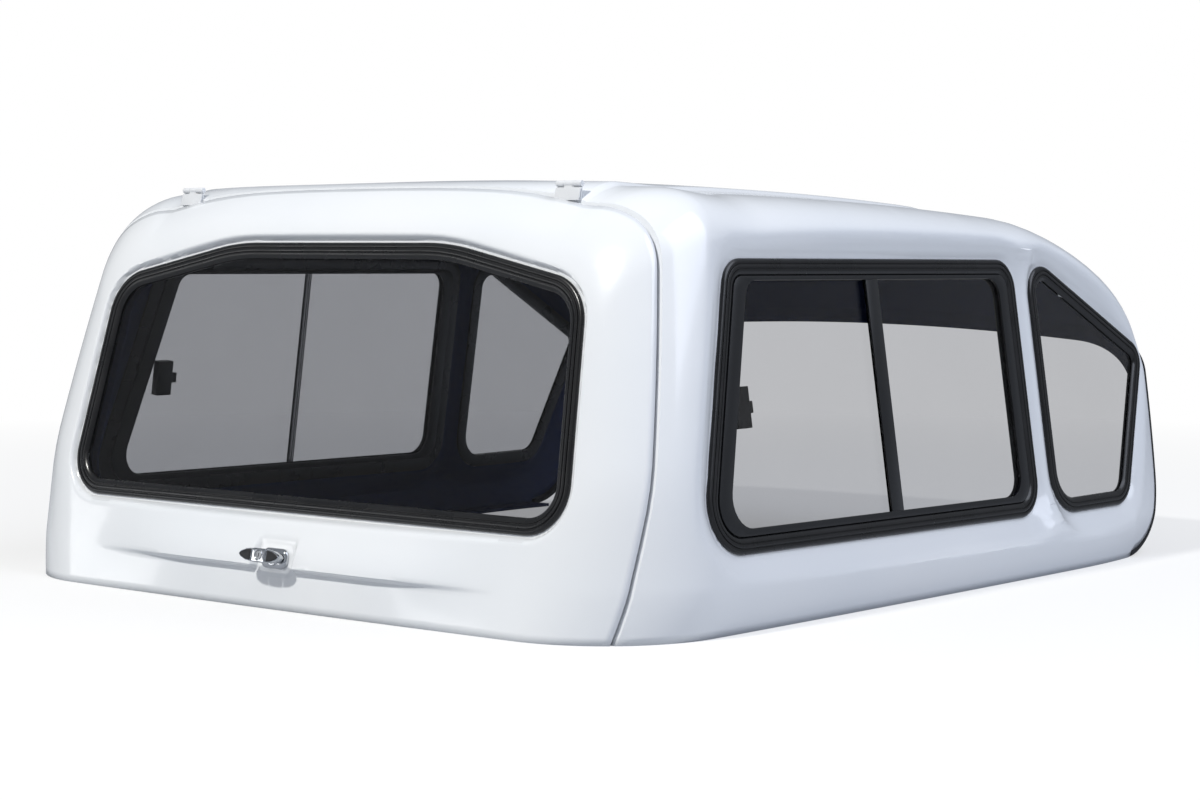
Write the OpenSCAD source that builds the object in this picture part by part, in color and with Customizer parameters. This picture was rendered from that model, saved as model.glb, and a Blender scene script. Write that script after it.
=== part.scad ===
// Pickup canopy: a moulded shell with side windows and a lift-up rear door.
// Millimetres. X runs across, the rear door faces -Y, Z is up from the bed rails.
// A station is a place along the length. The rear end leans forward, so a point
// of station v and height z lies at y = v + lean * z.

/* [Overall form] */
// Width across the sides at the front end
front_width = 1476; // [1320:6:1780]
// Width across the sides at the rear end
rear_width = 1394; // [1258:4:1698]
// Length of the moulding from the foot of the door to the front edge
body_length = 1560; // [1300:10:1880]
// Height of the roof's highest point above the base
roof_height = 668; // [550:2:810]
// Forward lean of the rear end for each unit of height
rear_lean = 0.24; // [0.18:0.01:0.32]

/* [Side form] */
// Height of the widest line of the sides
belt_height = 75; // [60:1:100]
// How far the foot of the sides turns in below the widest line
turn_under = 12; // [6:1:16]
// Inward slope of the sides at the widest line
tumblehome = 0.08; // [0.06:0.005:0.11]
// Growth of that slope with height, for each millimetre squared
tumble_curve = 0.00013; // [0.0001:0.00001:0.00017]
// How far the sides draw in towards the front edge
front_tuck = 34; // [20:1:45]

/* [Roof form] */
// Drop of the shoulder from the roof to the side wall
shoulder_drop = 82; // [76:2:104]
// Fall of the roof from its highest station to the front, for each millimetre squared
roof_fall = 0.000045; // [0.00003:0.000005:0.00007]
// Depth of the sloping nose at the front edge
nose_depth = 165; // [120:1:180]
// Length of the sloping nose
nose_length = 385; // [340:5:460]
// Height of the raised middle panel of the roof
panel_rise = 7; // [4:1:10]
// Width of the raised middle panel of the roof
panel_width = 892; // [780:4:1000]

/* [Moulding] */
// Thickness of the shell
wall = 5; // [4:0.5:6]
// Thickness of the door skin
door_wall = 4; // [3:0.5:5]
// Radius of the rear corners at the base
corner_base = 206; // [170:4:218]
// Radius of the rear corners at half height and along the roof
corner_top = 100; // [85:5:120]
// Bow of the rear face in plan
face_bow = 8; // [3:1:14]
// Depth from the rear face to the parting plane of the door
parting_depth = 60; // [56:1:72]
// Gap between door and shell
door_gap = 6; // [5:0.5:8]
// Width of the flange round the rear opening
flange_width = 35; // [30:1:42]
// Width of the flange round the front opening
front_flange = 30; // [24:1:40]
// Radius of the lower front corners, seen from the side
foot_radius = 125; // [100:5:150]

/* [Base rails] */
// Width of the rails along the foot of each side
rail_width = 48; // [36:1:60]
// Thickness of the rails
rail_thick = 6; // [4:0.5:10]

/* [Side windows] */
// Depth of the window plane inside the widest line of the front end
side_recess = 27; // [24:1:34]
// Lean of the window plane from upright, in degrees
side_tilt = 8.5; // [7.5:0.1:9.5]
// Turn of the window plane in plan, in degrees
side_turn = 1; // [0.5:0.1:1.5]
// Distance from the rear foot of the body to the main window, at its lower rear corner
main_rear = 187; // [175:2:230]
// Distance that the rear edge of the main window leans forward
main_slant = 130; // [90:2:150]
// Distance from the front edge of the body to the main window
main_front = 432; // [420:2:470]
// Distance from the highest roof line down to the top of the main window
main_head = 125; // [115:1:150]
// Height of the lower edge of the main window
main_sill = 102; // [90:1:130]
// Place of the window's sliding bar, from the front edge of the window
main_bar = 433; // [300:1:500]
// Width of the sliding bar
bar_width = 33; // [25:1:40]
// Width of the bar of the left window, which shows as a thin line
left_bar_width = 10; // [8:1:40]
// Distance from the front edge of the body to the rear edge of the quarter window
quarter_rear = 387; // [350:1:395]
// Distance from the front edge of the body to the quarter window's upper front corner
quarter_front = 8; // [0:1:40]
// Height of the lower edge of the quarter window
quarter_sill = 98; // [90:1:130]
// Slope of the quarter window's upper edge
quarter_slope = 0.5; // [0.4:0.02:0.55]
// Lean of the quarter window's front edge
quarter_lean = 0.42; // [0.3:0.02:0.5]
// Thickness of the glass
glass_thick = 4; // [3:0.5:5]

/* [Rear window] */
// Half width of the rear window at its foot
rear_foot_half = 548; // [480:2:560]
// Half width of the rear window at its shoulder
rear_shoulder_half = 515; // [460:5:530]
// Half width of the rear window's level top
rear_top_half = 234; // [180:2:300]
// Height of the rear window's foot
rear_sill = 149; // [140:1:180]
// Distance from the highest roof line down to the top of the rear window
rear_head = 88; // [84:1:120]
// Distance from the top of the rear window down to its shoulder
rear_fall = 60; // [50:1:80]
// Depth of the rear window plane inside the rear face
rear_recess = 16; // [13:1:20]

/* [Seals] */
// Width of the rubber round each window
rubber_width = 26; // [22:1:30]
// Height of the rubber above the window plane
rubber_rise = 6; // [4:0.5:8]
// Grip of the rubber on glass and on the shell's edge
rubber_grip = 10; // [7:0.5:11]
// Thickness of the front seal
seal_thick = 12; // [8:1:16]
// Width of the front seal
seal_width = 16; // [12:1:22]

/* [Door hardware] */
// Distance of each hinge from the middle
hinge_place = 415; // [300:5:430]
// Length of each hinge
hinge_length = 48; // [40:2:70]
// Radius of the hinge knuckles
knuckle_radius = 4.5; // [4:0.25:5.5]
// Radius of the hinge pins
pin_radius = 2.5; // [2:0.25:3]
// Length of the handle bar
bar_length = 90; // [76:1:104]
// Height of the handle bar
bar_height = 22; // [18:1:26]
// Height of the handle's spindle above the base
handle_height = 78; // [70:1:90]
// Outward reach of the ledge beside the handle
ledge_reach = 22; // [12:1:26]

/* [Hidden] */

white = [0.93, 0.94, 0.95];
black = [0.06, 0.06, 0.07];
tint = [0.3, 0.31, 0.33, 0.6];
metal = [0.75, 0.76, 0.78];

// Clearances
seat_gap = 0.3;
pin_gap = 0.05;
rail_gap = 1;
panel_gap = 0.6;

// Hold of the main window's frame on its panes
pane_hold = 5;

// Handle sizes along the spindle
plate_width = 56;
plate_height = 32;
plate_thick = 8;
neck_length = 18;
bar_thick = 14;
spindle_radius = 6;
seat_out = 10;

// Distance of the roof's edge inside the wall, at the shoulder
shoulder_in = 100;

// Extra radius of the rear corners where the roof meets the sides
corner_swell = 44;

// Depth below the base to which the inner forms run
below = 20;

// Stations
handle_reach = seat_out + plate_thick + neck_length + bar_thick;
lean_angle = atan(rear_lean);
rear_v = -body_length / 2;
front_v = body_length / 2;
rear_most = rear_v - handle_reach * cos(lean_angle) + (handle_height - bar_height / 2) * sin(lean_angle);
shift = -(rear_most + front_v + seal_thick) / 2;
part_v = rear_v + parting_depth;
lean_end = rear_v + 700;
lean_start = rear_v + 110;
top_v = rear_v + 415;
nose_v = front_v - nose_length;
tuck_v = front_v - 365;

function mix(a, b, t) = a + (b - a) * t;
function held(t) = min(1, max(0, t));
function ease(t) = held(t) * held(t) * (3 - 2 * held(t));
function lean_at(v) = rear_lean * ease((lean_end - v) / (lean_end - lean_start));

// Half width of the widest line at a station
function plan_half(v) =
    let (t = held((v - rear_v) / body_length), f = max(0, (v - tuck_v) / (front_v - tuck_v)))
    mix(rear_width, front_width, 1 - pow(1 - t, 1.8)) / 2 - front_tuck * pow(f, 2.5);

// How far the side lies inside that line at a height
function side_in(z) =
    z < belt_height
    ? turn_under * pow((belt_height - z) / belt_height, 2)
    : tumblehome * (z - belt_height) + tumble_curve * pow(z - belt_height, 2);

function side_x(z, v) = plan_half(v) - side_in(z);

// Height of the roof's middle line without the raised panel
function roof_z(v) =
    let (back = min(0, v - top_v), ahead = max(0, v - top_v), t = max(0, (v - nose_v) / nose_length))
    roof_height - panel_rise - 0.00008 * back * back - roof_fall * ahead * ahead
    - nose_depth * (0.6 * pow(t, 1.6) + 0.4 * pow(t, 10));

// Fall of the roof from its middle line for each millimetre squared
function crown_at(v) = mix(0.00001, 0.00008, ease((v - part_v) / 260));

// Rise of the middle panel
function panel_at(x, v) =
    panel_rise * ease((panel_width / 2 - abs(x)) / 14 + 0.5) * ease((front_v - 330 - v) / 120);

// Levels of the side wall: low ones follow the ledge of the door
ledge_z = handle_height - 10;
low_levels = [0, 25, 48, ledge_z - 10, ledge_z - 5, ledge_z, ledge_z + 12, 103, 123, 158];
wall_steps = 6;
shoulder_steps = 8;
roof_steps = 8;
level_count = len(low_levels);
side_last = level_count - 1 + wall_steps;
shoulder_last = side_last + shoulder_steps;
top_row = shoulder_last + roof_steps;
ring_size = 2 * top_row + 1;

function bow(a, b, c, d, t) =
    pow(1 - t, 3) * a + 3 * pow(1 - t, 2) * t * b + 3 * (1 - t) * t * t * c + pow(t, 3) * d;

// Distance from the middle of roof row k: three rows lie on the edge of the raised panel
function roof_wide(k) =
    let (edge = panel_width / 2)
    k == 1 ? edge + 8 : k == 2 ? edge : k == 3 ? edge - 8 : (edge - 8) * (roof_steps - k) / (roof_steps - 3);

// Point [x, z] of row i of the half section at station v, drawn in by an inset
function arch(i, v, inset, foot) =
    let (
        top = roof_z(v) - inset,
        crown = crown_at(v),
        wall_top = top - crown * 560 * 560 - shoulder_drop
    )
    i <= side_last
    ? let (z = i == 0 ? foot : i < level_count ? low_levels[i]
        : mix(low_levels[level_count - 1], wall_top, (i - level_count + 1) / wall_steps))
        [side_x(z, v) - inset, z]
    : let (
        slope = (side_x(wall_top + 1, v) - side_x(wall_top - 1, v)) / 2,
        s = [side_x(wall_top, v) - inset, wall_top],
        end_x = s[0] + slope * shoulder_drop - shoulder_in,
        e = [end_x, top - crown * end_x * end_x],
        fall = -2 * crown * end_x,
        along = (e[1] - s[1] - fall * (e[0] - s[0])) / (1 - fall * slope),
        c = s + along * [slope, 1]
    )
    i <= shoulder_last
    ? bow(s, mix(s, c, 0.62), mix(e, c, 0.62), e, (i - side_last) / shoulder_steps)
    : let (
        wide = roof_wide(i - shoulder_last),
        x = wide * min(1, (end_x - 4) / roof_wide(1))
    )
        [x, top - crown * x * x + panel_at(wide, v) * (1 - ease((inset - wall) / 30))];

// Height of row i at the rear, for the corner's taper
function row_level(i) =
    i < level_count
    ? low_levels[i]
    : mix(low_levels[level_count - 1], roof_height - panel_rise - shoulder_drop - 25,
        (i - level_count + 1) / wall_steps);

// Radius of the rear corner at row i
function corner_radius(i) =
    i <= shoulder_last
    ? mix(corner_base, corner_top + corner_swell, ease(row_level(i) / 260))
    : corner_top + corner_swell * pow(roof_wide(i - shoulder_last) / (roof_wide(1) + 27), 4);

// Bow of the rear face and the ledge beside the handle, at station depth
function ledge_at(x, z) =
    let (
        across = 1 - ease((abs(x) - 190) / 270),
        dish = mix(mix(0.35, 1, ease((z - ledge_z - 14) / 36)), 1, ease((abs(x) - 36) / 12)),
        over = dish * (1 - ease((z - ledge_z) / 88)),
        under = z > ledge_z - 10 ? mix(dish, 0.35, ease((ledge_z - z) / 10)) : 0.35 * max(0, z) / (ledge_z - 10)
    )
    ledge_reach * across * (z > ledge_z ? over : under);
function face_v(x, z) = rear_v + face_bow * pow(x / 620, 2) - ledge_at(x, z);

corner_steps = 12;
body_stations = [0.05, 0.12, 0.2, 0.28, 0.36, 0.45, 0.54, 0.62, 0.69, 0.75, 0.81, 0.86, 0.9, 0.935,
    0.96, 0.98, 1];
ring_count = corner_steps + 1 + len(body_stations);
columns = [0.03, 0.06, 0.072, 0.086, 0.15, 0.24, 0.33, 0.45, 0.58, 0.7, 0.82, 0.92];
column_set = [for (k = [len(columns) - 1:-1:0]) columns[k], 0, for (c = columns) -c];
column_count = len(column_set);

// Point of ring r, place m, of the form drawn in by an inset and ended at a station
function form_point(r, m, inset, end_v, foot) =
    let (
        i = m <= top_row ? m : 2 * top_row - m,
        side = m <= top_row ? 1 : -1,
        radius = corner_radius(i),
        turn = 90 * (1 - min(r, corner_steps) / corner_steps),
        rest = radius - inset,
        drawn = inset + rest * (1 - cos(turn)),
        p = arch(i, rear_v + radius, drawn, foot),
        corner_v = face_v(p[0], p[1]) + inset + rest * (1 - sin(turn)),
        v = r <= corner_steps ? corner_v : mix(corner_v, end_v, body_stations[r - corner_steps - 1]),
        q = r <= corner_steps ? p : arch(i, mix(rear_v + radius, end_v, body_stations[r - corner_steps - 1]),
            inset, foot)
    )
    [side * q[0], v + lean_at(v) * q[1], q[1]];

// Point of the rear face, row i, column k
function face_point(i, k, inset, foot) =
    let (
        radius = corner_radius(i),
        p = arch(i, rear_v + radius, radius, foot),
        x = p[0] * column_set[k],
        v = face_v(x, p[1]) + inset
    )
    [x, v + lean_at(v) * p[1], p[1]];

function ring_index(r, m) = r * ring_size + m;
function face_index(i, k) =
    k < 0 ? ring_index(0, i)
    : k >= column_count ? ring_index(0, 2 * top_row - i)
    : ring_count * ring_size + i * column_count + k;

// The closed outer form, or the same form drawn in by an inset
module form(inset, end_v, foot) {
    points = [
        for (r = [0:ring_count - 1]) for (m = [0:ring_size - 1]) form_point(r, m, inset, end_v, foot),
        for (i = [0:top_row - 1]) for (k = [0:column_count - 1]) face_point(i, k, inset, foot)
    ];
    rings = [
        for (r = [0:ring_count - 2]) for (m = [0:ring_size - 2])
            let (a = ring_index(r, m), b = ring_index(r + 1, m), c = b + 1, d = a + 1)
            each [[a, b, c], [a, c, d]]
    ];
    face = [
        for (i = [0:top_row - 2]) for (k = [-1:column_count - 1])
            let (a = face_index(i, k), b = face_index(i + 1, k), c = face_index(i + 1, k + 1),
                d = face_index(i, k + 1))
            each [[a, b, c], [a, c, d]]
    ];
    peak = [for (k = [-1:column_count - 1])
        [face_index(top_row - 1, k), ring_index(0, top_row), face_index(top_row - 1, k + 1)]];
    front = [[for (m = [ring_size - 1:-1:0]) ring_index(ring_count - 1, m)]];
    base = [[
        for (r = [ring_count - 1:-1:0]) ring_index(r, 0),
        for (k = [0:column_count - 1]) face_index(0, k),
        for (r = [0:ring_count - 1]) ring_index(r, ring_size - 1)
    ]];
    polyhedron(points, [for (f = concat(rings, face, peak, front, base)) [for (n = [len(f) - 1:-1:0]) f[n]]],
        convexity = 6);
}

// Slab between two stations of the leaning rear end
module lean_slab(from_v, to_v) {
    translate([0, from_v, 0])
        rotate([-lean_angle, 0, 0])
            translate([-front_width, 0, -roof_height])
                cube([2 * front_width, (to_v - from_v) * cos(lean_angle), 4 * roof_height]);
}

// Outlines: corners with straight edges moved out by given widths, then rounded
function cross2(a, b) = a[0] * b[1] - a[1] * b[0];
function moved(p, widths) =
    let (n = len(p))
    [for (i = [0:n - 1])
        let (
            a = p[(i + n - 1) % n], b = p[i], c = p[(i + 1) % n],
            u = (b - a) / norm(b - a), w = (c - b) / norm(c - b),
            pa = b + widths[(i + n - 1) % n] * [u[1], -u[0]],
            pb = b + widths[i] * [w[1], -w[0]]
        )
        pa + u * cross2(pb - pa, w) / cross2(u, w)];
function grown(p, d) = moved(p, [for (q = p) d]);
function rounded(p, radii, d) =
    let (n = len(p), steps = 8)
    [for (i = [0:n - 1])
        let (
            a = p[(i + n - 1) % n], b = p[i], c = p[(i + 1) % n],
            u = (a - b) / norm(a - b), w = (c - b) / norm(c - b),
            half = acos(u * w) / 2,
            r = max(1, radii[i] + d),
            centre = b + (u + w) / norm(u + w) * r / sin(half),
            start = b + u * r / tan(half) - centre,
            sweep = 180 - 2 * half
        )
        for (k = [0:steps])
            let (t = sweep * k / steps)
            centre + [start[0] * cos(t) - start[1] * sin(t), start[0] * sin(t) + start[1] * cos(t)]];

module outline(shape, d) polygon(rounded(grown(shape[0], d), shape[1], d));
module ring(shape, outer, inner, low, high) {
    translate([0, 0, low])
        linear_extrude(high - low)
            difference() {
                outline(shape, outer);
                outline(shape, inner);
            }
}
module plate(shape, d, low, high) {
    translate([0, 0, low])
        linear_extrude(high - low)
            outline(shape, d);
}

// Main window, counter-clockwise from the lower rear corner: outer edge of the rubber
main_top = roof_height - main_head;
main_shape = [[
    [rear_v + main_rear, main_sill + 12], [front_v - main_front, main_sill],
    [front_v - main_front, main_top], [rear_v + main_rear + main_slant, main_top + 5]
], [75, 62, 50, 50]];
day_shape = [moved(main_shape[0], [-37, -52, -33, -56]), [44, 36, 30, 28]];
bar_place = front_v - main_front - main_bar;

// Quarter window, the same way
quarter_top = roof_height - main_head + 20;
quarter_tip_z = quarter_top - quarter_slope * (quarter_rear - quarter_front);
quarter_shape = [[
    [front_v - quarter_rear, quarter_sill],
    [front_v - quarter_front - quarter_lean * (quarter_tip_z - quarter_sill), quarter_sill],
    [front_v - quarter_front, quarter_tip_z], [front_v - quarter_rear, quarter_top]
], [75, 62, 40, 52]];

// Rear window
rear_top = roof_height - rear_head;
rear_shape = [[
    [-rear_foot_half, rear_sill], [rear_foot_half, rear_sill],
    [rear_shoulder_half, rear_top - rear_fall], [rear_top_half, rear_top],
    [-rear_top_half, rear_top], [-rear_shoulder_half, rear_top - rear_fall]
], [72, 72, 80, 450, 450, 80]];

// Frames of the window planes: X along the window, Y up it, Z outwards
module side_plane(side) {
    mirror([side < 0 ? 1 : 0, 0, 0])
        translate([front_width / 2 - side_recess, 0, 0])
            rotate([0, 0, -side_turn])
                rotate([0, -side_tilt, 0])
                    rotate([90, 0, 90])
                        children();
}
module rear_plane(depth) {
    translate([0, rear_v + depth, 0])
        rotate([90 - lean_angle, 0, 0])
            children();
}
module seam_plane() {
    translate([0, part_v, 0])
        rotate([-lean_angle, 0, 0])
            children();
}
module placed() translate([0, shift, 0]) children();

// Recess with a rounded lip, cut from outside down to the window plane
lip = [[3, 0], [5, 6], [10, 14], [22, 60]];
module recess(shape, extra) {
    for (k = [0:len(lip) - 2])
        hull() {
            plate(shape, lip[k][0] + extra, lip[k][1] - extra, lip[k][1] - extra + 0.1);
            plate(shape, lip[k + 1][0] + extra, lip[k + 1][1] - extra, lip[k + 1][1] - extra + 0.1);
        }
}

// Section across the parting plane at a station, drawn in by an inset
function turn_at(i, v, inset, turn, tries) =
    let (
        rest = corner_radius(i) - inset,
        p = arch(i, rear_v + corner_radius(i), inset + rest * (1 - cos(turn)), 0),
        next = asin(held(1 - (v - face_v(p[0], p[1]) - inset) / rest))
    )
    tries == 0 ? next : turn_at(i, v, inset, next, tries - 1);
function part_arch(m, v, inset, foot) =
    let (
        i = m <= top_row ? m : 2 * top_row - m,
        side = m <= top_row ? 1 : -1,
        turn = turn_at(i, v, inset, 30, 4),
        rest = corner_radius(i) - inset,
        p = arch(i, rear_v + corner_radius(i), inset + rest * (1 - cos(turn)), foot)
    )
    [side * p[0], p[1] / cos(lean_angle)];

hinge_up = part_arch(top_row, part_v, 0, 0)[1] + 1;
hinge_z = hinge_up * cos(lean_angle);
hinge_y = part_v + hinge_up * sin(lean_angle) + shift;

// Strip swept along a path: each frame is [place, first direction, second direction]
module strip(frames, profile) {
    n = len(profile);
    last = len(frames) - 1;
    points = [for (f = frames) for (q = profile) f[0] + q[0] * f[1] + q[1] * f[2]];
    walls = [for (j = [0:last - 1]) for (k = [0:n - 1])
        let (a = j * n + k, b = j * n + (k + 1) % n, c = b + n, d = a + n)
        each [[a, b, c], [a, c, d]]];
    ends = [[for (k = [n - 1:-1:0]) k], [for (k = [0:n - 1]) last * n + k]];
    polyhedron(points, [for (f = concat(walls, ends)) [for (j = [len(f) - 1:-1:0]) f[j]]], convexity = 6);
}
function unit(p) = p / norm(p);

module window_cuts(side) {
    side_plane(side) {
        recess(main_shape, 0);
        recess(quarter_shape, 0);
        plate(main_shape, -rubber_grip, -40, 5);
        plate(quarter_shape, -rubber_grip, -40, 5);
        plate(quarter_shape, 1, -40, -wall);
    }
}
module window_backs(side) {
    side_plane(side) {
        recess(main_shape, wall);
        recess(quarter_shape, wall);
    }
}
module hinge_notch(x) {
    translate([x - hinge_length / 2 - 1.5, part_v + hinge_up * sin(lean_angle), hinge_z])
        rotate([0, 90, 0])
            cylinder(r = knuckle_radius + 1.5, h = hinge_length + 3, $fn = 32);
}

module shell() placed() color(white) difference() {
    union() {
        difference() {
            form(0, front_v, 0);
            form(wall, front_v - wall, -below);
        }
        intersection() {
            form(0, front_v, 0);
            union() {
                for (side = [-1, 1]) window_backs(side);
                difference() {
                    lean_slab(part_v + door_gap / 2, part_v + door_gap / 2 + wall);
                    form(flange_width, front_v, -below);
                }
            }
        }
    }
    lean_slab(rear_v - 300, part_v + door_gap / 2);
    for (side = [-1, 1]) window_cuts(side);
    for (side = [-1, 1]) hinge_notch(side * hinge_place);
    translate([0, front_v + 40, 0])
        rotate([90, 0, 0])
            linear_extrude(100)
                polygon([for (m = [0:ring_size - 1])
                    let (i = m <= top_row ? m : 2 * top_row - m, p = arch(i, front_v, front_flange, -below))
                    [(m <= top_row ? 1 : -1) * p[0], p[1]]]);
    translate([-front_width, front_v - foot_radius, foot_low - 50])
        difference() {
            cube([2 * front_width, foot_radius + 10, foot_radius + 50]);
            translate([-1, 0, foot_radius + 50])
                rotate([0, 90, 0])
                    cylinder(r = foot_radius, h = 2 * front_width + 2, $fn = 96);
        }
}

// Level of the shell's edge where the front seal starts under it
foot_low = seal_thick + seat_gap;

rail_from = rear_v + corner_base;
rail_to = front_v - foot_radius;
rail_count = 16;
function inner_foot(v) =
    mix(arch(0, v, wall, -below)[0], arch(1, v, wall, -below)[0], below / (below + low_levels[1]));
module rail(side) {
    stations = [for (k = [0:rail_count]) mix(rail_from, rail_to, k / rail_count)];
    edge = [for (v = stations) [inner_foot(v) - rail_gap, v]];
    mirror([side < 0 ? 1 : 0, 0, 0])
        linear_extrude(rail_thick)
            polygon(concat(edge, [for (k = [rail_count:-1:0]) edge[k] - [rail_width, 0]]));
}
module base_rail_left() placed() color(white) rail(-1);
module base_rail_right() placed() color(white) rail(1);

// Path of the front seal: up one rounded foot, round the arch, down the other
foot_steps = 18;
front_rows = [for (i = [0:top_row]) if (arch(i, front_v, 0, 0)[1] > foot_low + foot_radius + 8) i];
function foot_frame(side, k) =
    let (
        a = mix(2, 90, k / foot_steps),
        z = foot_low + foot_radius * (1 - cos(a)),
        y = front_v - foot_radius * (1 - sin(a))
    )
    [[side * side_x(z, y), y, z], [0, sin(a), -cos(a)], [-side, 0, 0]];
function front_frame(side, i) =
    let (
        p = arch(i, front_v, 0, 0),
        q = i < top_row ? arch(i + 1, front_v, 0, 0) : p - [1, 0],
        o = arch(i - 1, front_v, 0, 0),
        t = unit(q - o)
    )
    [[side * p[0], front_v, p[1]], [0, 1, 0], i == top_row ? [0, 0, -1] : [-side * t[1], 0, t[0]]];
module front_seal() placed() color(black) {
    last = len(front_rows) - 1;
    strip([
        for (k = [0:foot_steps]) foot_frame(1, k),
        for (i = front_rows) front_frame(1, i),
        for (j = [last - 1:-1:0]) front_frame(-1, front_rows[j]),
        for (k = [foot_steps:-1:0]) foot_frame(-1, k)
    ], [[seat_gap, -1.5], [seal_thick - 4, -1.5], [seal_thick, 2.5], [seal_thick, seal_width - 4],
        [seal_thick - 4, seal_width], [seat_gap, seal_width]]);
}

// Push-on seal along the inner edge of the rear flange
seal_lap = 4;
seal_in = 12;
seal_half = [for (i = [1:shoulder_last]) if (i > level_count || i % 3 == 1 || i == 2) i];
seal_rows = concat(seal_half, [top_row], [for (k = [len(seal_half) - 1:-1:0]) 2 * top_row - seal_half[k]]);
function part_frame(m) =
    let (
        p = part_arch(m, part_v + door_gap / 2, flange_width, 0),
        a = part_arch(max(0, m - 1), part_v + door_gap / 2, flange_width, 0),
        b = part_arch(min(ring_size - 1, m + 1), part_v + door_gap / 2, flange_width, 0),
        t = unit(b - a)
    )
    [[p[0], 0, p[1]], [0, 1, 0], [-t[1], 0, t[0]]];
module door_seal() placed() color(black) seam_plane() {
    face = door_gap / 2 * cos(lean_angle);
    back = face + wall * cos(lean_angle);
    strip([for (m = seal_rows) part_frame(m)],
        [[face - 2, -seal_lap], [face - seat_gap, -seal_lap], [face - seat_gap, seat_gap],
        [back + seat_gap, seat_gap], [back + seat_gap, -seal_lap], [back + 2, -seal_lap],
        [back + 2, seal_in - seal_lap], [face - 2, seal_in - seal_lap]]);
}

// Hinges: two leaves in the gap and a pin through the knuckles
leaf_height = 26;
leaf_thick = 2;
third = hinge_length / 3;
module hinge_line(from_x, length, r) {
    translate([from_x, 0, hinge_up])
        rotate([0, 90, 0])
            cylinder(r = r, h = length, $fn = 48);
}
module hinge_body(side) placed() color(white) seam_plane() translate([side * hinge_place, 0, 0]) {
    face = door_gap / 2 * cos(lean_angle) - seat_gap;
    difference() {
        union() {
            translate([-hinge_length / 2, face - leaf_thick, hinge_up - leaf_height])
                cube([hinge_length, leaf_thick, leaf_height]);
            hinge_line(-hinge_length / 2, hinge_length, knuckle_radius);
        }
        translate([-third / 2 - seat_gap, -10, hinge_up - knuckle_radius - 2])
            cube([third + 2 * seat_gap, 20, 3 * knuckle_radius]);
    }
    hinge_line(-hinge_length / 2, hinge_length, pin_radius);
}
module hinge_door(side) placed() color(white) seam_plane() translate([side * hinge_place, 0, 0]) {
    face = -door_gap / 2 * cos(lean_angle) + seat_gap;
    difference() {
        union() {
            translate([-hinge_length / 2, face, hinge_up - leaf_height])
                cube([hinge_length, leaf_thick - 0.3, leaf_height - knuckle_radius - 2]);
            translate([-third / 2, face, hinge_up - leaf_height])
                cube([third, leaf_thick - 0.3, leaf_height]);
            hinge_line(-third / 2, third, knuckle_radius);
        }
        hinge_line(-hinge_length / 2, hinge_length, pin_radius + pin_gap);
    }
}
module hinge_body_left() hinge_body(-1);
module hinge_body_right() hinge_body(1);
module hinge_door_left() hinge_door(-1);
module hinge_door_right() hinge_door(1);

// Rubber that grips the shell's edge outside and the glass inside
module window_rubber(shape, skin) {
    lap = rubber_width - 2 * rubber_grip;
    ring(shape, 0, -rubber_width, seat_gap, rubber_rise);
    ring(shape, -rubber_grip - seat_gap, -rubber_grip - lap + seat_gap, -skin - seat_gap, seat_gap);
    ring(shape, 0, -rubber_width, -skin - 4, -skin - seat_gap);
}
frame_deep = 12;
module main_frame(side) placed() color(black) side_plane(side) {
    difference() {
        plate(main_shape, -rubber_grip - (rubber_width - 2 * rubber_grip), -wall, 0);
        plate(day_shape, pane_hold, -wall - 1, 1);
    }
    difference() {
        plate(main_shape, -rubber_width - seat_gap, 0, 4);
        plate(day_shape, 0, -1, 5);
    }
    difference() {
        plate(main_shape, -rubber_width - seat_gap, -frame_deep, -wall);
        plate(day_shape, pane_hold, -frame_deep + 2, -wall + 1);
        plate(day_shape, 0, -frame_deep - 1, -frame_deep + 3);
    }
}
module main_frame_left() main_frame(-1);
module main_frame_right() main_frame(1);
module main_rubber_left() placed() color(black) side_plane(-1) window_rubber(main_shape, wall);
module main_rubber_right() placed() color(black) side_plane(1) window_rubber(main_shape, wall);

// Sliding panes: the front one runs outside the rear one
function bar_of(side) = side < 0 ? left_bar_width : bar_width;
function pane_lap(side) = (bar_of(side) - pane_hold) / 2;
module pane(side, low, from_s, to_s) {
    placed() color(tint) side_plane(side) translate([0, 0, low])
        linear_extrude(glass_thick)
            intersection() {
                outline(day_shape, pane_hold - seat_gap);
                translate([from_s, 0])
                    square([to_s - from_s, roof_height]);
            }
}
module main_pane_front_left() pane(-1, -seat_gap - glass_thick, bar_place - pane_lap(-1), front_v);
module main_pane_front_right() pane(1, -seat_gap - glass_thick, bar_place - pane_lap(1), front_v);
module main_pane_rear_left() pane(-1, -2 * seat_gap - 2 * glass_thick, rear_v, bar_place + pane_lap(-1));
module main_pane_rear_right() pane(1, -2 * seat_gap - 2 * glass_thick, rear_v, bar_place + pane_lap(1));
module main_bar(side) {
    placed() color(black) side_plane(side) translate([0, 0, seat_gap])
        linear_extrude(3)
            intersection() {
                outline(day_shape, -seat_gap);
                translate([bar_place - bar_of(side) / 2, 0])
                    square([bar_of(side), roof_height]);
            }
}
module main_bar_left() main_bar(-1);
module main_bar_right() main_bar(1);

// Catch on the inner face of the rear pane, at its rear edge
latch_size = [34, 62, 14];
module window_latch(side) {
    latch_t = (main_sill + main_top) / 2 + 5;
    inside = -2 * seat_gap - 2 * glass_thick - seat_gap;
    latch_end = latch_t + latch_size[1] / 2;
    rear_s = rear_v + main_rear + main_slant * (latch_end - main_sill) / (main_top - main_sill) + 57;
    placed() color(black) side_plane(side) translate([rear_s, latch_t - latch_size[1] / 2, inside - latch_size[2]]) {
        cube([latch_size[0], latch_size[1], latch_size[2]]);
        translate([latch_size[0], latch_size[1] / 2 - 9, 2])
            cube([12, 18, latch_size[2] - 6]);
    }
}
module window_latch_left() window_latch(-1);
module window_latch_right() window_latch(1);

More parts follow.
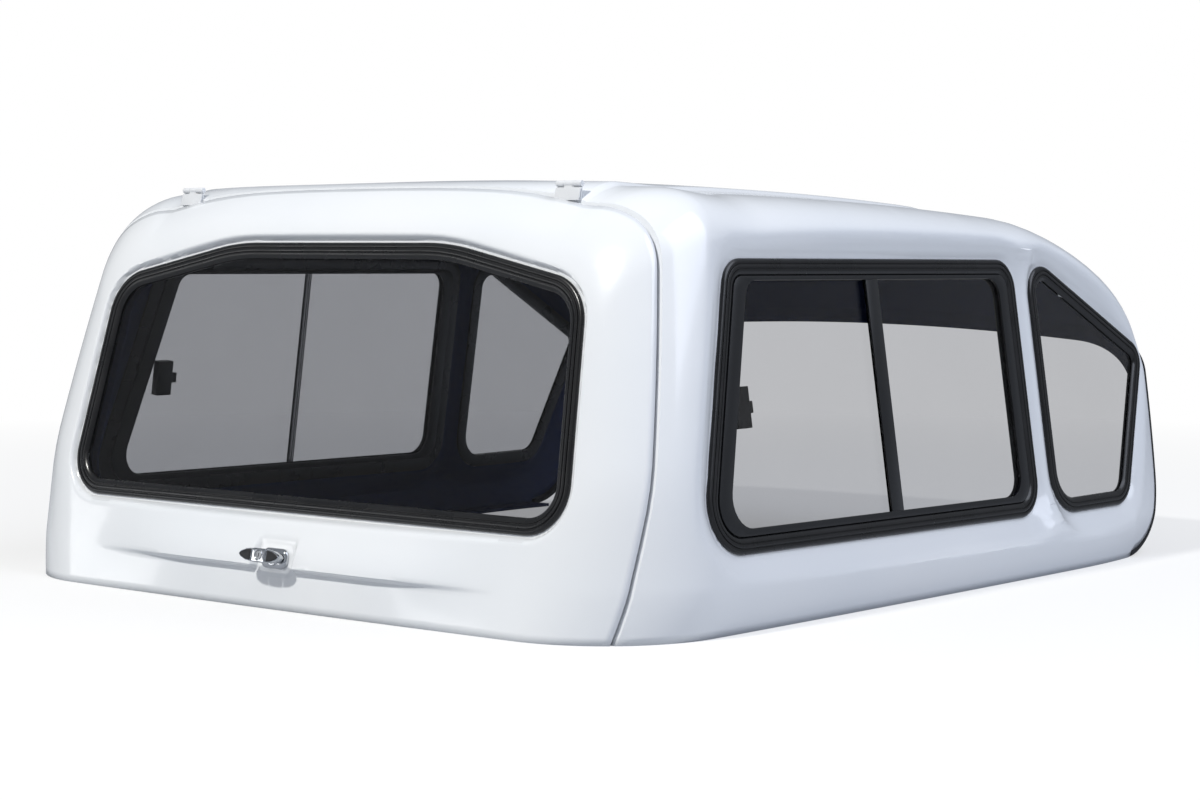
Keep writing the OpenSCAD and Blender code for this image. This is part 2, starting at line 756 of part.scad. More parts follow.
module quarter_rubber_left() placed() color(black) side_plane(-1) window_rubber(quarter_shape, wall);
module quarter_rubber_right() placed() color(black) side_plane(1) window_rubber(quarter_shape, wall);
module quarter_glass(side) placed() color(tint) side_plane(side)
    plate(quarter_shape, -rubber_width + rubber_grip, -wall / 2 - glass_thick / 2, -wall / 2 + glass_thick / 2);
module quarter_glass_left() quarter_glass(-1);
module quarter_glass_right() quarter_glass(1);

// Door: outer skin, inner panel, glass and its rubber
seat_shape = [[[-plate_width / 2 - 8, handle_height - plate_height / 2 - 6],
    [plate_width / 2 + 8, handle_height - plate_height / 2 - 6],
    [plate_width / 2 + 8, handle_height + plate_height / 2 + 6],
    [-plate_width / 2 - 8, handle_height + plate_height / 2 + 6]], [12, 12, 12, 12]];
module door_skin() placed() color(white) difference() {
    union() {
        intersection() {
            form(0, front_v, 5);
            union() {
                difference() {
                    lean_slab(rear_v - 300, part_v - door_gap / 2);
                    form(door_wall, front_v, -below);
                }
                rear_plane(rear_recess) recess(rear_shape, door_wall);
            }
        }
        rear_plane(0)
            hull() {
                plate(seat_shape, 0, seat_out - 1, seat_out);
                plate(seat_shape, 14, -door_wall, -door_wall + 1);
            }
    }
    lean_slab(part_v - door_gap / 2, front_v + 400);
    rear_plane(rear_recess) {
        recess(rear_shape, 0);
        plate(rear_shape, -rubber_grip, -40, 5);
    }
    rear_plane(0) {
        hull() {
            plate(seat_shape, -4, seat_out - 6, seat_out - 5);
            plate(seat_shape, 10, -door_wall - 20, -door_wall - 19);
        }
        translate([0, handle_height, -40])
            cylinder(r = spindle_radius + 4, h = 80, $fn = 48);
    }
    for (side = [-1, 1]) hinge_notch(side * hinge_place);
}

panel_front = part_v - door_gap;
module door_inner() {
    edge_v = panel_front - door_wall;
    placed() color(white) translate([0, panel_front, 0]) rotate([90 - lean_angle, 0, 0])
        linear_extrude(door_wall * cos(lean_angle))
            difference() {
                translate([0, (edge_v - panel_front) * sin(lean_angle)])
                    polygon([for (m = [0:ring_size - 1]) part_arch(m, edge_v, door_wall + panel_gap, 8)]);
                translate([0, (rear_v + rear_recess - panel_front) * sin(lean_angle)])
                    outline(rear_shape, -rubber_grip);
                translate([0, handle_height + (rear_v - panel_front) * sin(lean_angle)])
                    circle(r = spindle_radius + 4, $fn = 48);
            }
}
module rear_rubber() placed() color(black) rear_plane(rear_recess) window_rubber(rear_shape, door_wall);
module rear_glass() placed() color(tint) rear_plane(rear_recess)
    plate(rear_shape, -rubber_width + rubber_grip, -door_wall / 2 - glass_thick / 2,
        -door_wall / 2 + glass_thick / 2);

// Handle: a plate on the door, a bar on a spindle, grips, a lock and a cam
function box_shape(w, h, r) = [[[-w / 2, -h / 2], [w / 2, -h / 2], [w / 2, h / 2], [-w / 2, h / 2]], [r, r, r, r]];
module handle_plane() rear_plane(0) translate([0, handle_height, seat_out]) children();
module handle_base() placed() color(metal) handle_plane() difference() {
    plate(box_shape(plate_width, plate_height, 13), 0, seat_gap, plate_thick);
    translate([0, 0, -1])
        cylinder(r = spindle_radius + pin_gap, h = plate_thick + 2, $fn = 48);
}
bar_low = plate_thick + neck_length;
cam_thick = 3;
cam_face = -(part_v - door_gap - rear_v) * cos(lean_angle) - seat_out - 3;
grip_start = 15;
module handle_bar() placed() color(metal) handle_plane() {
    translate([0, 0, cam_face - cam_thick])
        cylinder(r = spindle_radius, h = bar_low - cam_face + cam_thick, $fn = 48);
    translate([0, 0, plate_thick + 1])
        cylinder(r = spindle_radius + 3, h = neck_length, $fn = 48);
    difference() {
        plate(box_shape(2 * grip_start, bar_height, 3), 0, bar_low, bar_low + bar_thick);
        translate([0, 0, bar_low + bar_thick - 4])
            cylinder(r = 7, h = 5, $fn = 48);
    }
}
module handle_grips() placed() color(black) handle_plane() for (side = [-1, 1]) mirror([side < 0 ? 1 : 0, 0, 0])
    translate([0, 0, bar_low])
        linear_extrude(bar_thick)
            polygon([[grip_start + seat_gap, -bar_height / 2], [bar_length / 2 - 16, -bar_height / 2 + 2],
                [bar_length / 2 - 4, -4], [bar_length / 2, 0], [bar_length / 2 - 4, 4],
                [bar_length / 2 - 16, bar_height / 2 - 2], [grip_start + seat_gap, bar_height / 2]]);
module handle_lock() placed() color(metal) handle_plane()
    translate([0, 0, bar_low + bar_thick - 4 + seat_gap])
        cylinder(r = 7 - seat_gap, h = 3.2, $fn = 48);
module handle_cam() placed() color(metal) handle_plane() difference() {
    plate(box_shape(64, 18, 5), 0, cam_face - cam_thick, cam_face);
    translate([0, 0, cam_face - cam_thick - 1])
        cylinder(r = spindle_radius + seat_gap, h = cam_thick + 2, $fn = 48);
}

shell();
base_rail_left();
base_rail_right();
front_seal();
door_seal();
hinge_body_left();
hinge_body_right();
main_rubber_left();
main_rubber_right();
main_frame_left();
main_frame_right();
main_pane_rear_left();
main_pane_rear_right();
main_pane_front_left();
main_pane_front_right();
main_bar_left();
main_bar_right();
window_latch_left();
window_latch_right();
quarter_rubber_left();
quarter_rubber_right();
quarter_glass_left();
quarter_glass_right();
door_skin();
door_inner();
rear_rubber();
rear_glass();
hinge_door_left();
hinge_door_right();
handle_base();
handle_bar();
handle_grips();
handle_lock();
handle_cam();
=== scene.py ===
"""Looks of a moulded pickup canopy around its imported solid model."""

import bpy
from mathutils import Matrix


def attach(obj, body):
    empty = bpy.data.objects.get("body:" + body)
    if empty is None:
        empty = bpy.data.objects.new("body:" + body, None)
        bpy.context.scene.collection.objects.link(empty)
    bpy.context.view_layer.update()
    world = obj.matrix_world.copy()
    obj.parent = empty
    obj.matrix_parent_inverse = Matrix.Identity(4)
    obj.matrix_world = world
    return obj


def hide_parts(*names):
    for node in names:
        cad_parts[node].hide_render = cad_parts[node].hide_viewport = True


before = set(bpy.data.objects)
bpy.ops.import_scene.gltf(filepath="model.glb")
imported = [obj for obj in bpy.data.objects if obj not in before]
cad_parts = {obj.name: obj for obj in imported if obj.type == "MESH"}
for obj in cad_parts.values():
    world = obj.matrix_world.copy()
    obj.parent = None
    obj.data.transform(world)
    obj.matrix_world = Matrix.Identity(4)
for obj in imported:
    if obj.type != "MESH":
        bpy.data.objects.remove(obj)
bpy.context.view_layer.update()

import math

import bmesh
import bpy
import numpy as np
from bpy.props import FloatProperty, PointerProperty, StringProperty
from mathutils import Matrix, Vector

bl_info = {
    "name": "Pickup canopy",
    "version": (1, 0, 0),
    "blender": (4, 5, 0),
    "location": "3D View > Sidebar > Canopy",
    "description": "Builds the skins, rubbers, glass and fittings of a pickup canopy, and a studio round it",
    "category": "Object",
}

MM = 0.001

# Sizes of the moulding in millimetres, as the solid model has them. A station v runs from REAR_V at the rear
# face to FRONT_V at the front edge, before the body's lean is added.
FRONT_WIDTH, REAR_WIDTH, BODY_LENGTH, ROOF_HEIGHT = 1476.0, 1394.0, 1560.0, 668.0
REAR_LEAN = 0.24
BELT_HEIGHT, TURN_UNDER, TUMBLEHOME, TUMBLE_CURVE, FRONT_TUCK = 75.0, 12.0, 0.08, 0.00013, 34.0
SHOULDER_DROP, SHOULDER_IN, SHOULDER_PULL = 82.0, 100.0, 0.62
BACK_FALL, ROOF_FALL, NOSE_DEPTH, NOSE_LENGTH = 0.00008, 0.000045, 165.0, 385.0
CROWN_REAR, CROWN_FRONT, CROWN_LENGTH, CROWN_HALF = 0.00001, 0.00008, 260, 560
PANEL_RISE, PANEL_WIDTH, PANEL_SLOPE, PANEL_STOP, PANEL_RUNOUT = 7.0, 892.0, 14, 330, 120
PANEL_INSET = 30  # inset past the wall over which the raised panel levels out
WALL, DOOR_WALL = 5.0, 4.0
CORNER_BASE, CORNER_TOP, CORNER_SWELL, BASE_HEIGHT = 206.0, 100.0, 44.0, 260
FACE_BOW, FACE_HALF = 8.0, 620
PARTING_DEPTH, DOOR_GAP, FLANGE_WIDTH, FRONT_FLANGE, FOOT_RADIUS = 60.0, 6.0, 35.0, 30.0, 125.0
RUBBER_WIDTH, RUBBER_GRIP, SEAL_THICK = 26.0, 10.0, 12.0
REAR_RECESS = 16.0
HANDLE_HEIGHT, SEAT_OUT = 78.0, 10.0
LEDGE_REACH, LEDGE_HALF, LEDGE_FADE, LEDGE_SLOPE, LEDGE_DEEP = 22.0, 190, 270, 88, 10
DISH_HALF, DISH_EDGE, DISH_LOW, DISH_SLOPE, DISH_SHARE = 36, 12, 14, 36, 0.35
BAR_HEIGHT, BAR_THICK, PLATE_THICK, NECK_LENGTH = 22.0, 14.0, 8.0, 18.0
PLATE_WIDTH, PLATE_HEIGHT = 56.0, 32.0
SIDE_INSET, SIDE_TILT, SIDE_TURN = 27.0, 8.5, 1.0  # plane of the side windows, with its angles in degrees
SEAT_GAP = 0.3  # play between a rubber and what it sits on

LEAN_ANGLE = math.atan(REAR_LEAN)
REAR_V, FRONT_V = -BODY_LENGTH / 2, BODY_LENGTH / 2
PART_V = REAR_V + PARTING_DEPTH
LEAN_START, LEAN_END = REAR_V + 110, REAR_V + 700
TOP_V, NOSE_V, TUCK_V = REAR_V + 415, FRONT_V - NOSE_LENGTH, FRONT_V - 365
HANDLE_REACH = SEAT_OUT + PLATE_THICK + NECK_LENGTH + BAR_THICK
REAR_MOST = (REAR_V - HANDLE_REACH * math.cos(LEAN_ANGLE)
             + (HANDLE_HEIGHT - BAR_HEIGHT / 2) * math.sin(LEAN_ANGLE))
SHIFT = -(REAR_MOST + FRONT_V + SEAL_THICK) / 2
FOOT_LOW = SEAL_THICK + SEAT_GAP
LIFT_HEIGHT = 300  # height to which the side's rows are spread to clear the rounded foot

# Rows of the half section: levels up the side, wall, shoulder, roof.
LEDGE_Z = HANDLE_HEIGHT - 10
LEVELS = [0, 25, 48, LEDGE_Z - 10, LEDGE_Z - 5, LEDGE_Z, LEDGE_Z + 12, 103, 123, 158]
LEVEL_LAST, WALL_STEPS, SHOULDER_STEPS, ROOF_STEPS = len(LEVELS) - 1, 6, 8, 8
SIDE_LAST = LEVEL_LAST + WALL_STEPS
SHOULDER_LAST = SIDE_LAST + SHOULDER_STEPS
TOP_ROW = SHOULDER_LAST + ROOF_STEPS
SHOULDER_ROW_Z = ROOF_HEIGHT - PANEL_RISE - SHOULDER_DROP - 25
ROOF_EDGE = PANEL_WIDTH / 2 + 8
EDGE_CLEAR = 4  # least width between the roof's edge row and the shoulder
EDGE_STEP, SHOULDER_STEP = 4, 13  # growth of the half width by row below the roof's edge and down the shoulder
TURN_ROUNDS = 8  # rounds in which a corner's turn is found
ROOF_PLACES = ([0, 1, 2, 3, ROOF_STEPS], [PANEL_WIDTH / 2 + p for p in (35, 8, 0, -8)] + [0])


def mix(a, b, t):
    """Straight mix from a at 0 to b at 1."""
    return a + (b - a) * t


def ease(t):
    """Smooth step from 0 to 1."""
    t = np.clip(t, 0, 1)
    return t * t * (3 - 2 * t)


def bow(a, b, c, d, t):
    """Cubic curve between a and d, pulled towards b and c."""
    return (1 - t) ** 3 * a + 3 * (1 - t) ** 2 * t * b + 3 * (1 - t) * t * t * c + t ** 3 * d


def lean_at(v):
    """Forward lean of a station per height, from the rear's lean to none."""
    return REAR_LEAN * ease((LEAN_END - v) / (LEAN_END - LEAN_START))


def plan_half(v):
    """Half width of the widest line at a station."""
    t = np.clip((v - REAR_V) / BODY_LENGTH, 0, 1)
    tuck = np.maximum(0, (v - TUCK_V) / (FRONT_V - TUCK_V))
    return mix(REAR_WIDTH, FRONT_WIDTH, 1 - (1 - t) ** 1.8) / 2 - FRONT_TUCK * tuck ** 2.5


def side_x(z, v):
    """Half width of the side at a height and station."""
    low = TURN_UNDER * ((BELT_HEIGHT - z) / BELT_HEIGHT) ** 2
    high = TUMBLEHOME * (z - BELT_HEIGHT) + TUMBLE_CURVE * (z - BELT_HEIGHT) ** 2
    return plan_half(v) - np.where(z < BELT_HEIGHT, low, high)


def roof_z(v):
    """Height of the roof's middle at a station, under the raised panel."""
    back, ahead = np.minimum(0, v - TOP_V), np.maximum(0, v - TOP_V)
    t = np.maximum(0, (v - NOSE_V) / NOSE_LENGTH)
    return (ROOF_HEIGHT - PANEL_RISE - BACK_FALL * back * back - ROOF_FALL * ahead * ahead
            - NOSE_DEPTH * (0.6 * t ** 1.6 + 0.4 * t ** 10))


def crown_at(v):
    """Crown of the roof at a station, as its fall per squared distance from the middle."""
    return mix(CROWN_REAR, CROWN_FRONT, ease((v - PART_V) / CROWN_LENGTH))


def panel_at(x, v):
    """Rise of the raised middle panel of the roof."""
    across = ease((PANEL_WIDTH / 2 - abs(x)) / PANEL_SLOPE + 0.5)
    return PANEL_RISE * across * ease((FRONT_V - PANEL_STOP - v) / PANEL_RUNOUT)


def section(row, v, inset, lift=0.0):
    """Point x, z of a row of the half section at station v, drawn in by an inset, with its foot lifted."""
    top, crown = roof_z(v) - inset, crown_at(v)
    wall_top = top - crown * CROWN_HALF * CROWN_HALF - SHOULDER_DROP
    z = np.where(row <= LEVEL_LAST, np.interp(row, range(len(LEVELS)), LEVELS),
                 mix(LEVELS[-1], wall_top, (row - LEVEL_LAST) / WALL_STEPS))
    z = z + lift * np.clip(1 - z / LIFT_HEIGHT, 0, 1)
    x = side_x(z, v) - inset
    slope = (side_x(wall_top + 1, v) - side_x(wall_top - 1, v)) / 2
    start_x = side_x(wall_top, v) - inset
    end_x = start_x + slope * SHOULDER_DROP - SHOULDER_IN
    end_z = top - crown * end_x * end_x
    fall = -2 * crown * end_x
    along = (end_z - wall_top - fall * (end_x - start_x)) / (1 - fall * slope)
    mid_x, mid_z = start_x + along * slope, wall_top + along
    t = np.clip((row - SIDE_LAST) / SHOULDER_STEPS, 0, 1)
    bend_x = bow(start_x, mix(start_x, mid_x, SHOULDER_PULL), mix(end_x, mid_x, SHOULDER_PULL), end_x, t)
    bend_z = bow(wall_top, mix(wall_top, mid_z, SHOULDER_PULL), mix(end_z, mid_z, SHOULDER_PULL), end_z, t)
    k = row - SHOULDER_LAST
    squeeze = np.minimum(1, (end_x - EDGE_CLEAR) / ROOF_EDGE)
    wide = np.where(k < 1, mix(end_x / squeeze, ROOF_EDGE, k), np.interp(k, *ROOF_PLACES))
    roof_x = wide * squeeze
    raised = panel_at(wide, v) * (1 - ease((inset - WALL) / PANEL_INSET))
    roof_top = top - crown * roof_x * roof_x + raised
    on_side, on_roof = row <= SIDE_LAST, row > SHOULDER_LAST
    return (np.where(on_side, x, np.where(on_roof, roof_x, bend_x)),
            np.where(on_side, z, np.where(on_roof, roof_top, bend_z)))


def smooth_min(a, b, k):
    """Lesser of two values, rounded where they cross."""
    h = np.clip(0.5 + 0.5 * (b - a) / k, 0, 1)
    return mix(b, a, h) - k * h * (1 - h)


def corner_radius(row):
    """Radius of the rear corners at a row: largest at the foot and least at the roof's middle."""
    z = np.where(row <= LEVEL_LAST, np.interp(row, range(len(LEVELS)), LEVELS),
                 mix(LEVELS[-1], SHOULDER_ROW_Z, (row - LEVEL_LAST) / WALL_STEPS))
    low = mix(CORNER_BASE, CORNER_TOP + CORNER_SWELL, ease(z / BASE_HEIGHT))
    past, down = SHOULDER_LAST + 1 - row, SHOULDER_LAST - row
    wide = np.where(past > 0, ROOF_EDGE + EDGE_STEP * past, np.interp(-down, *ROOF_PLACES))
    wide = wide + SHOULDER_STEP * np.maximum(0, down)
    swell = smooth_min((wide / ROOF_EDGE) ** 4, 1.0, 0.5)
    return np.where(row <= SIDE_LAST, low, CORNER_TOP + CORNER_SWELL * swell)


def face_v(x, z):
    """Station of the rear face: its bow, and the ledge beside the handle."""
    across = 1 - ease((abs(x) - LEDGE_HALF) / LEDGE_FADE)
    dish = mix(mix(DISH_SHARE, 1, ease((z - LEDGE_Z - DISH_LOW) / DISH_SLOPE)), 1,
               ease((abs(x) - DISH_HALF) / DISH_EDGE))
    over = dish * (1 - ease((z - LEDGE_Z) / LEDGE_SLOPE))
    under = np.where(z > LEDGE_Z - LEDGE_DEEP, mix(dish, DISH_SHARE, ease((LEDGE_Z - z) / LEDGE_DEEP)),
                     DISH_SHARE * np.maximum(0, z) / (LEDGE_Z - LEDGE_DEEP))
    ledge = LEDGE_REACH * across * np.where(z > LEDGE_Z, over, under)
    return REAR_V + FACE_BOW * (x / FACE_HALF) ** 2 - ledge


def corner_point(row, side, turn, inset):
    """Point of a rear corner, turned from 0 at the side to a right angle at the face."""
    radius = corner_radius(row)
    rest = radius - inset
    x, z = section(row, REAR_V + radius, inset + rest * (1 - np.cos(turn)))
    v = face_v(x, z) + inset + rest * (1 - np.sin(turn))
    return np.stack([side * x, v + lean_at(v) * z + SHIFT, z], axis=-1)


def corner_turn(row, v, inset):
    """Turn at which a corner meets the plane of a station."""
    radius = corner_radius(row)
    rest, turn = radius - inset, np.full(np.shape(row), 0.5)
    for _ in range(TURN_ROUNDS):
        x, z = section(row, REAR_V + radius, inset + rest * (1 - np.cos(turn)))
        turn = np.arcsin(np.clip(1 - (v - face_v(x, z) - inset) / rest, 0, 1))
    return turn


class FlatFrame:
    """A flat frame in the body, in millimetres: s along it, t up it, n outwards."""

    def __init__(self, origin, s_axis, t_axis, n_axis):
        self.origin = np.array(origin, float)
        self.axes = np.array([s_axis, t_axis, n_axis], float)

    def out(self, s, t, n):
        """Points of the body from points of the frame."""
        return self.origin + np.stack([s, t, n], axis=-1) @ self.axes

    def into(self, points):
        """The frame's s, t and n of points of the body."""
        q = (points - self.origin) @ self.axes.T
        return q[..., 0], q[..., 1], q[..., 2]


def side_frame(side):
    """Plane of a side's windows: side is 1 for the right and -1 for the left."""
    tilt, turn = math.radians(SIDE_TILT), math.radians(SIDE_TURN)
    swing = np.array([[math.cos(turn), -math.sin(turn), 0], [math.sin(turn), math.cos(turn), 0], [0, 0, 1]])
    upright = [[0, 1, 0], [-math.sin(tilt), 0, math.cos(tilt)], [math.cos(tilt), 0, math.sin(tilt)]]
    flip = np.array([side, 1, 1])
    origin = np.array([FRONT_WIDTH / 2 - SIDE_INSET, SHIFT, 0])
    return FlatFrame(origin * flip, *(np.array(upright) @ swing * flip))


def rear_frame(depth, height=0.0, out=0.0):
    """Plane parallel to the rear face, a depth inside it, with its origin a height up it and out from it."""
    up = np.array([0, math.sin(LEAN_ANGLE), math.cos(LEAN_ANGLE)])
    away = np.array([0, -math.cos(LEAN_ANGLE), math.sin(LEAN_ANGLE)])
    origin = np.array([0, REAR_V + depth + SHIFT, 0]) + height * up + out * away
    return FlatFrame(origin, [1, 0, 0], up, away)


def moved(corners, widths):
    """A convex outline with each edge moved out by its own width."""
    p, n = np.array(corners, float), len(corners)
    made = []
    for i in range(n):
        a, b, c = p[i - 1], p[i], p[(i + 1) % n]
        u, w = (b - a) / np.linalg.norm(b - a), (c - b) / np.linalg.norm(c - b)
        pa = b + widths[i - 1] * np.array([u[1], -u[0]])
        pb = b + widths[i] * np.array([w[1], -w[0]])
        d = pb - pa
        made.append(pa + u * (d[0] * w[1] - d[1] * w[0]) / (u[0] * w[1] - u[1] * w[0]))
    return np.array(made)


def outline(shape, grow, steps=14):
    """Points of a rounded outline, grown by a width, with the same count at each corner."""
    corners, radii = shape
    p, n = moved(corners, [grow] * len(corners)), len(corners)
    made = []
    for i in range(n):
        a, b, c = p[i - 1], p[i], p[(i + 1) % n]
        u, w = (a - b) / np.linalg.norm(a - b), (c - b) / np.linalg.norm(c - b)
        half = math.acos(float(u @ w)) / 2
        r = max(1.0, radii[i] + grow)
        centre = b + (u + w) / np.linalg.norm(u + w) * r / math.sin(half)
        start = b + u * r / math.tan(half) - centre
        for k in range(steps + 1):
            a_k = (math.pi - 2 * half) * k / steps
            made.append(centre + [start[0] * math.cos(a_k) - start[1] * math.sin(a_k),
                                  start[0] * math.sin(a_k) + start[1] * math.cos(a_k)])
    return np.array(made)


def distance(shape, s, t):
    """Distance of points outside a rounded outline; negative inside."""
    ring = outline(shape, 0, 20)
    nearest, inside = np.full(np.shape(s), 1e9), np.full(np.shape(s), -1e9)
    for a, b in zip(ring, np.roll(ring, -1, axis=0)):
        d = b - a
        size = float(np.hypot(*d))
        if size < 1e-6:
            continue
        along = np.clip(((s - a[0]) * d[0] + (t - a[1]) * d[1]) / size ** 2, 0, 1)
        nearest = np.minimum(nearest, np.hypot(s - a[0] - along * d[0], t - a[1] - along * d[1]))
        inside = np.maximum(inside, ((s - a[0]) * d[1] - (t - a[1]) * d[0]) / size)
    return np.where(inside < 0, inside, nearest)


# Outlines of the windows, each as its corners in its plane and the radius at each corner.
MAIN_REAR, MAIN_FRONT, MAIN_SLANT = REAR_V + 187, FRONT_V - 432, 130
MAIN_SHAPE = ([[MAIN_REAR, 114], [MAIN_FRONT, 102], [MAIN_FRONT, ROOF_HEIGHT - 125],
               [MAIN_REAR + MAIN_SLANT, ROOF_HEIGHT - 120]], [75, 62, 50, 50])
QUARTER_REAR, QUARTER_FRONT, QUARTER_SILL = FRONT_V - 387, FRONT_V - 8, 98
QUARTER_TOP = ROOF_HEIGHT - 105
QUARTER_TIP = QUARTER_TOP - 0.5 * (QUARTER_FRONT - QUARTER_REAR)
QUARTER_SHAPE = ([[QUARTER_REAR, QUARTER_SILL],
                  [QUARTER_FRONT - 0.42 * (QUARTER_TIP - QUARTER_SILL), QUARTER_SILL],
                  [QUARTER_FRONT, QUARTER_TIP], [QUARTER_REAR, QUARTER_TOP]], [75, 62, 40, 52])
REAR_SILL, REAR_SHOULDER, REAR_TOP = 149, ROOF_HEIGHT - 148, ROOF_HEIGHT - 88
REAR_SHAPE = ([[-548, REAR_SILL], [548, REAR_SILL], [515, REAR_SHOULDER], [234, REAR_TOP],
               [-234, REAR_TOP], [-515, REAR_SHOULDER]], [72, 72, 80, 450, 450, 80])

# Raised seat under the handle, wider and higher than the handle's plate.
SEAT_HALF, SEAT_LOW, SEAT_HIGH = PLATE_WIDTH / 2 + 8, HANDLE_HEIGHT - 22, HANDLE_HEIGHT + 22
SEAT_SHAPE = ([[-SEAT_HALF, SEAT_LOW], [SEAT_HALF, SEAT_LOW],
               [SEAT_HALF, SEAT_HIGH], [-SEAT_HALF, SEAT_HIGH]], [12] * 4)
SEAT_OUTSIDE = [0, 1, 3, 14, 40, 90]
SEAT_RISE = [10, 9.6, 7.5, -4, -40, -400]
SEAT_MIDDLE = 4  # distance outside the seat's outline at which its slope is finest meshed

# Height of a recess's wall over its flat floor, by distance outside the window's outline. The rear window's
# is steep, with a flat border round its rubber; the side windows' are shallow.
REAR_OUTSIDE = [-99, 2.4, 3.2, 4.2, 6, 10, 14, 22, 80]
REAR_RISE = [0, 0, 1.4, 4.4, 8, 14, 27, 60, 400]
REAR_BORDER = 2.6
SIDE_OUTSIDE = [-99, 2.4, 4, 7, 12, 20, 30, 45, 90]
SIDE_RISE = [0, 0, 1.0, 3.2, 6.4, 10.5, 16, 28, 400]
SIDE_SOFTER = 3  # the side recesses' edges are this much softer than the rear's
ROOF_GAP, ROOF_HALF = 99, 400  # added to the distance of the shell's points this near to its middle


def pressed_sides(points, soft):
    """Points of the shell, pressed down into the recesses of the side windows."""
    flip = np.where(points[:, :1] < 0, -1.0, 1.0)
    s, t, n = side_frame(1).into(points * np.hstack([flip, np.ones((len(points), 2))]))
    for shape in (MAIN_SHAPE, QUARTER_SHAPE):
        n = smooth_min(n, np.interp(distance(shape, s, t), SIDE_OUTSIDE, SIDE_RISE), SIDE_SOFTER * soft)
    made = side_frame(1).out(s, t, n)
    made[:, 0] *= flip[:, 0]
    return made


def pressed_rear(points, soft):
    """Points of the door skin, pressed into the window's recess and raised under the handle."""
    plane = rear_frame(REAR_RECESS)
    s, t, n = plane.into(points)
    n = smooth_min(n, np.interp(distance(REAR_SHAPE, s, t) - REAR_BORDER, REAR_OUTSIDE, REAR_RISE), soft)
    flat = rear_frame(0).into(points)
    seat = distance(SEAT_SHAPE, flat[0], flat[1])
    pad = REAR_RECESS * math.cos(LEAN_ANGLE) + np.interp(seat, SEAT_OUTSIDE, SEAT_RISE)
    n = -smooth_min(-n, -pad, 3.0)
    return plane.out(s, t, n)


def sides_of(points):
    """Distance of shell points from the nearest side window's outline; the roof counts as far from it."""
    s, t, _ = side_frame(1).into(np.abs(points) * [1, 0, 1] + points * [0, 1, 0])
    gap = np.min([distance(shape, s, t) for shape in (MAIN_SHAPE, QUARTER_SHAPE)], axis=0)
    return gap + ROOF_GAP * (np.abs(points[:, 0]) < ROOF_HALF)


# Mesh helpers

# Bands of the skins that are subdivided, in millimetres either side of the middle of a recess's wall, which
# is that far outside the window's outline. The skins end at the cut line, inside the rubbers' grooves.
FINE_BANDS, WALL_MIDDLE, CUT_LINE = (34, 22, 15), 6, -RUBBER_GRIP - 2


def refined_mesh(name, params, faces, place, gap_of, press, near_of=None):
    """A mesh on a parametric surface, pressed and opened at its windows and subdivided near them.

    place gives the points of parameters, gap_of their distance from the outlines, and press their places after
    pressing. near_of replaces gap_of where the subdivision has to cover more than the windows' edges.
    """
    bm = bmesh.new()
    verts = [bm.verts.new(p) for p in params]
    for f in faces:
        bm.faces.new([verts[i] for i in f])
    bm.normal_update()
    for band in FINE_BANDS:
        bm.verts.ensure_lookup_table()
        gap = np.abs((near_of or gap_of)(place(np.array([v.co[:] for v in bm.verts]))) - WALL_MIDDLE)
        for v in bm.verts:
            v.tag = bool(gap[v.index] < band)
        for e in bm.edges:
            e.tag = False
        for f in bm.faces:
            if any(v.tag for v in f.verts):
                for e in f.edges:
                    e.tag = True
        bmesh.ops.subdivide_edges(bm, edges=[e for e in bm.edges if e.tag], cuts=1, use_grid_fill=True)
        bm.verts.index_update()
    bm.verts.ensure_lookup_table()
    points = place(np.array([v.co[:] for v in bm.verts]))
    gap = gap_of(points)
    points = press(points)
    for v in bm.verts:
        v.co = points[v.index] * MM
    bmesh.ops.delete(bm, geom=[f for f in bm.faces if max(gap[v.index] for v in f.verts) < CUT_LINE],
                     context="FACES")
    bm.normal_update()
    mesh = bpy.data.meshes.new(name)
    bm.to_mesh(mesh)
    bm.free()
    return mesh


def grid_faces(rows, columns, closed_rows=False, closed_columns=False):
    """Quads of a grid of rows times columns."""
    faces = []
    for r in range(rows - (0 if closed_rows else 1)):
        for c in range(columns - (0 if closed_columns else 1)):
            a, b = r * columns + c, r * columns + (c + 1) % columns
            d, e = (r + 1) % rows * columns + c, (r + 1) % rows * columns + (c + 1) % columns
            faces.append((a, b, e, d))
    return faces


def mesh_of(name, points, faces, smooth_angle):
    """A mesh in metres from points in millimetres, smooth but for sharp edges."""
    mesh = bpy.data.meshes.new(name)
    mesh.from_pydata([list(p) for p in np.asarray(points, float).reshape(-1, 3) * MM], [], faces)
    finish_mesh(mesh, smooth_angle)
    return mesh


def finish_mesh(mesh, smooth_angle):
    """Merges a mesh's doubles, turns its faces outwards and shades it smooth but for sharp edges."""
    bm = bmesh.new()
    bm.from_mesh(mesh)
    bmesh.ops.remove_doubles(bm, verts=bm.verts, dist=1e-6)
    bmesh.ops.recalc_face_normals(bm, faces=bm.faces)
    bm.to_mesh(mesh)
    bm.free()
    mesh.validate()
    mesh.shade_smooth()
    mesh.set_sharp_from_angle(angle=math.radians(smooth_angle))


def add_piece(name, mesh, body, slot, *materials, replaces=()):
    """Adds a mesh as a piece that rides on a body and stands for solid nodes."""
    obj = bpy.data.objects.new(name, mesh)
    bpy.context.scene.collection.objects.link(obj)
    for m in materials:
        mesh.materials.append(m)
    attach(obj, body)
    if replaces:
        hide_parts(*replaces)
    return obj


def ring_mesh(name, plane, profile, steps, angle):
    """A closed ring: each profile point is an outline, a growth and a height over the plane."""
    rings = [plane.out(*outline(shape, grow, steps).T, np.full(len(shape[0]) * (steps + 1), h))
             for shape, grow, h in profile]
    points = np.stack(rings, axis=1)
    return mesh_of(name, points, grid_faces(points.shape[0], points.shape[1], True, True), angle)


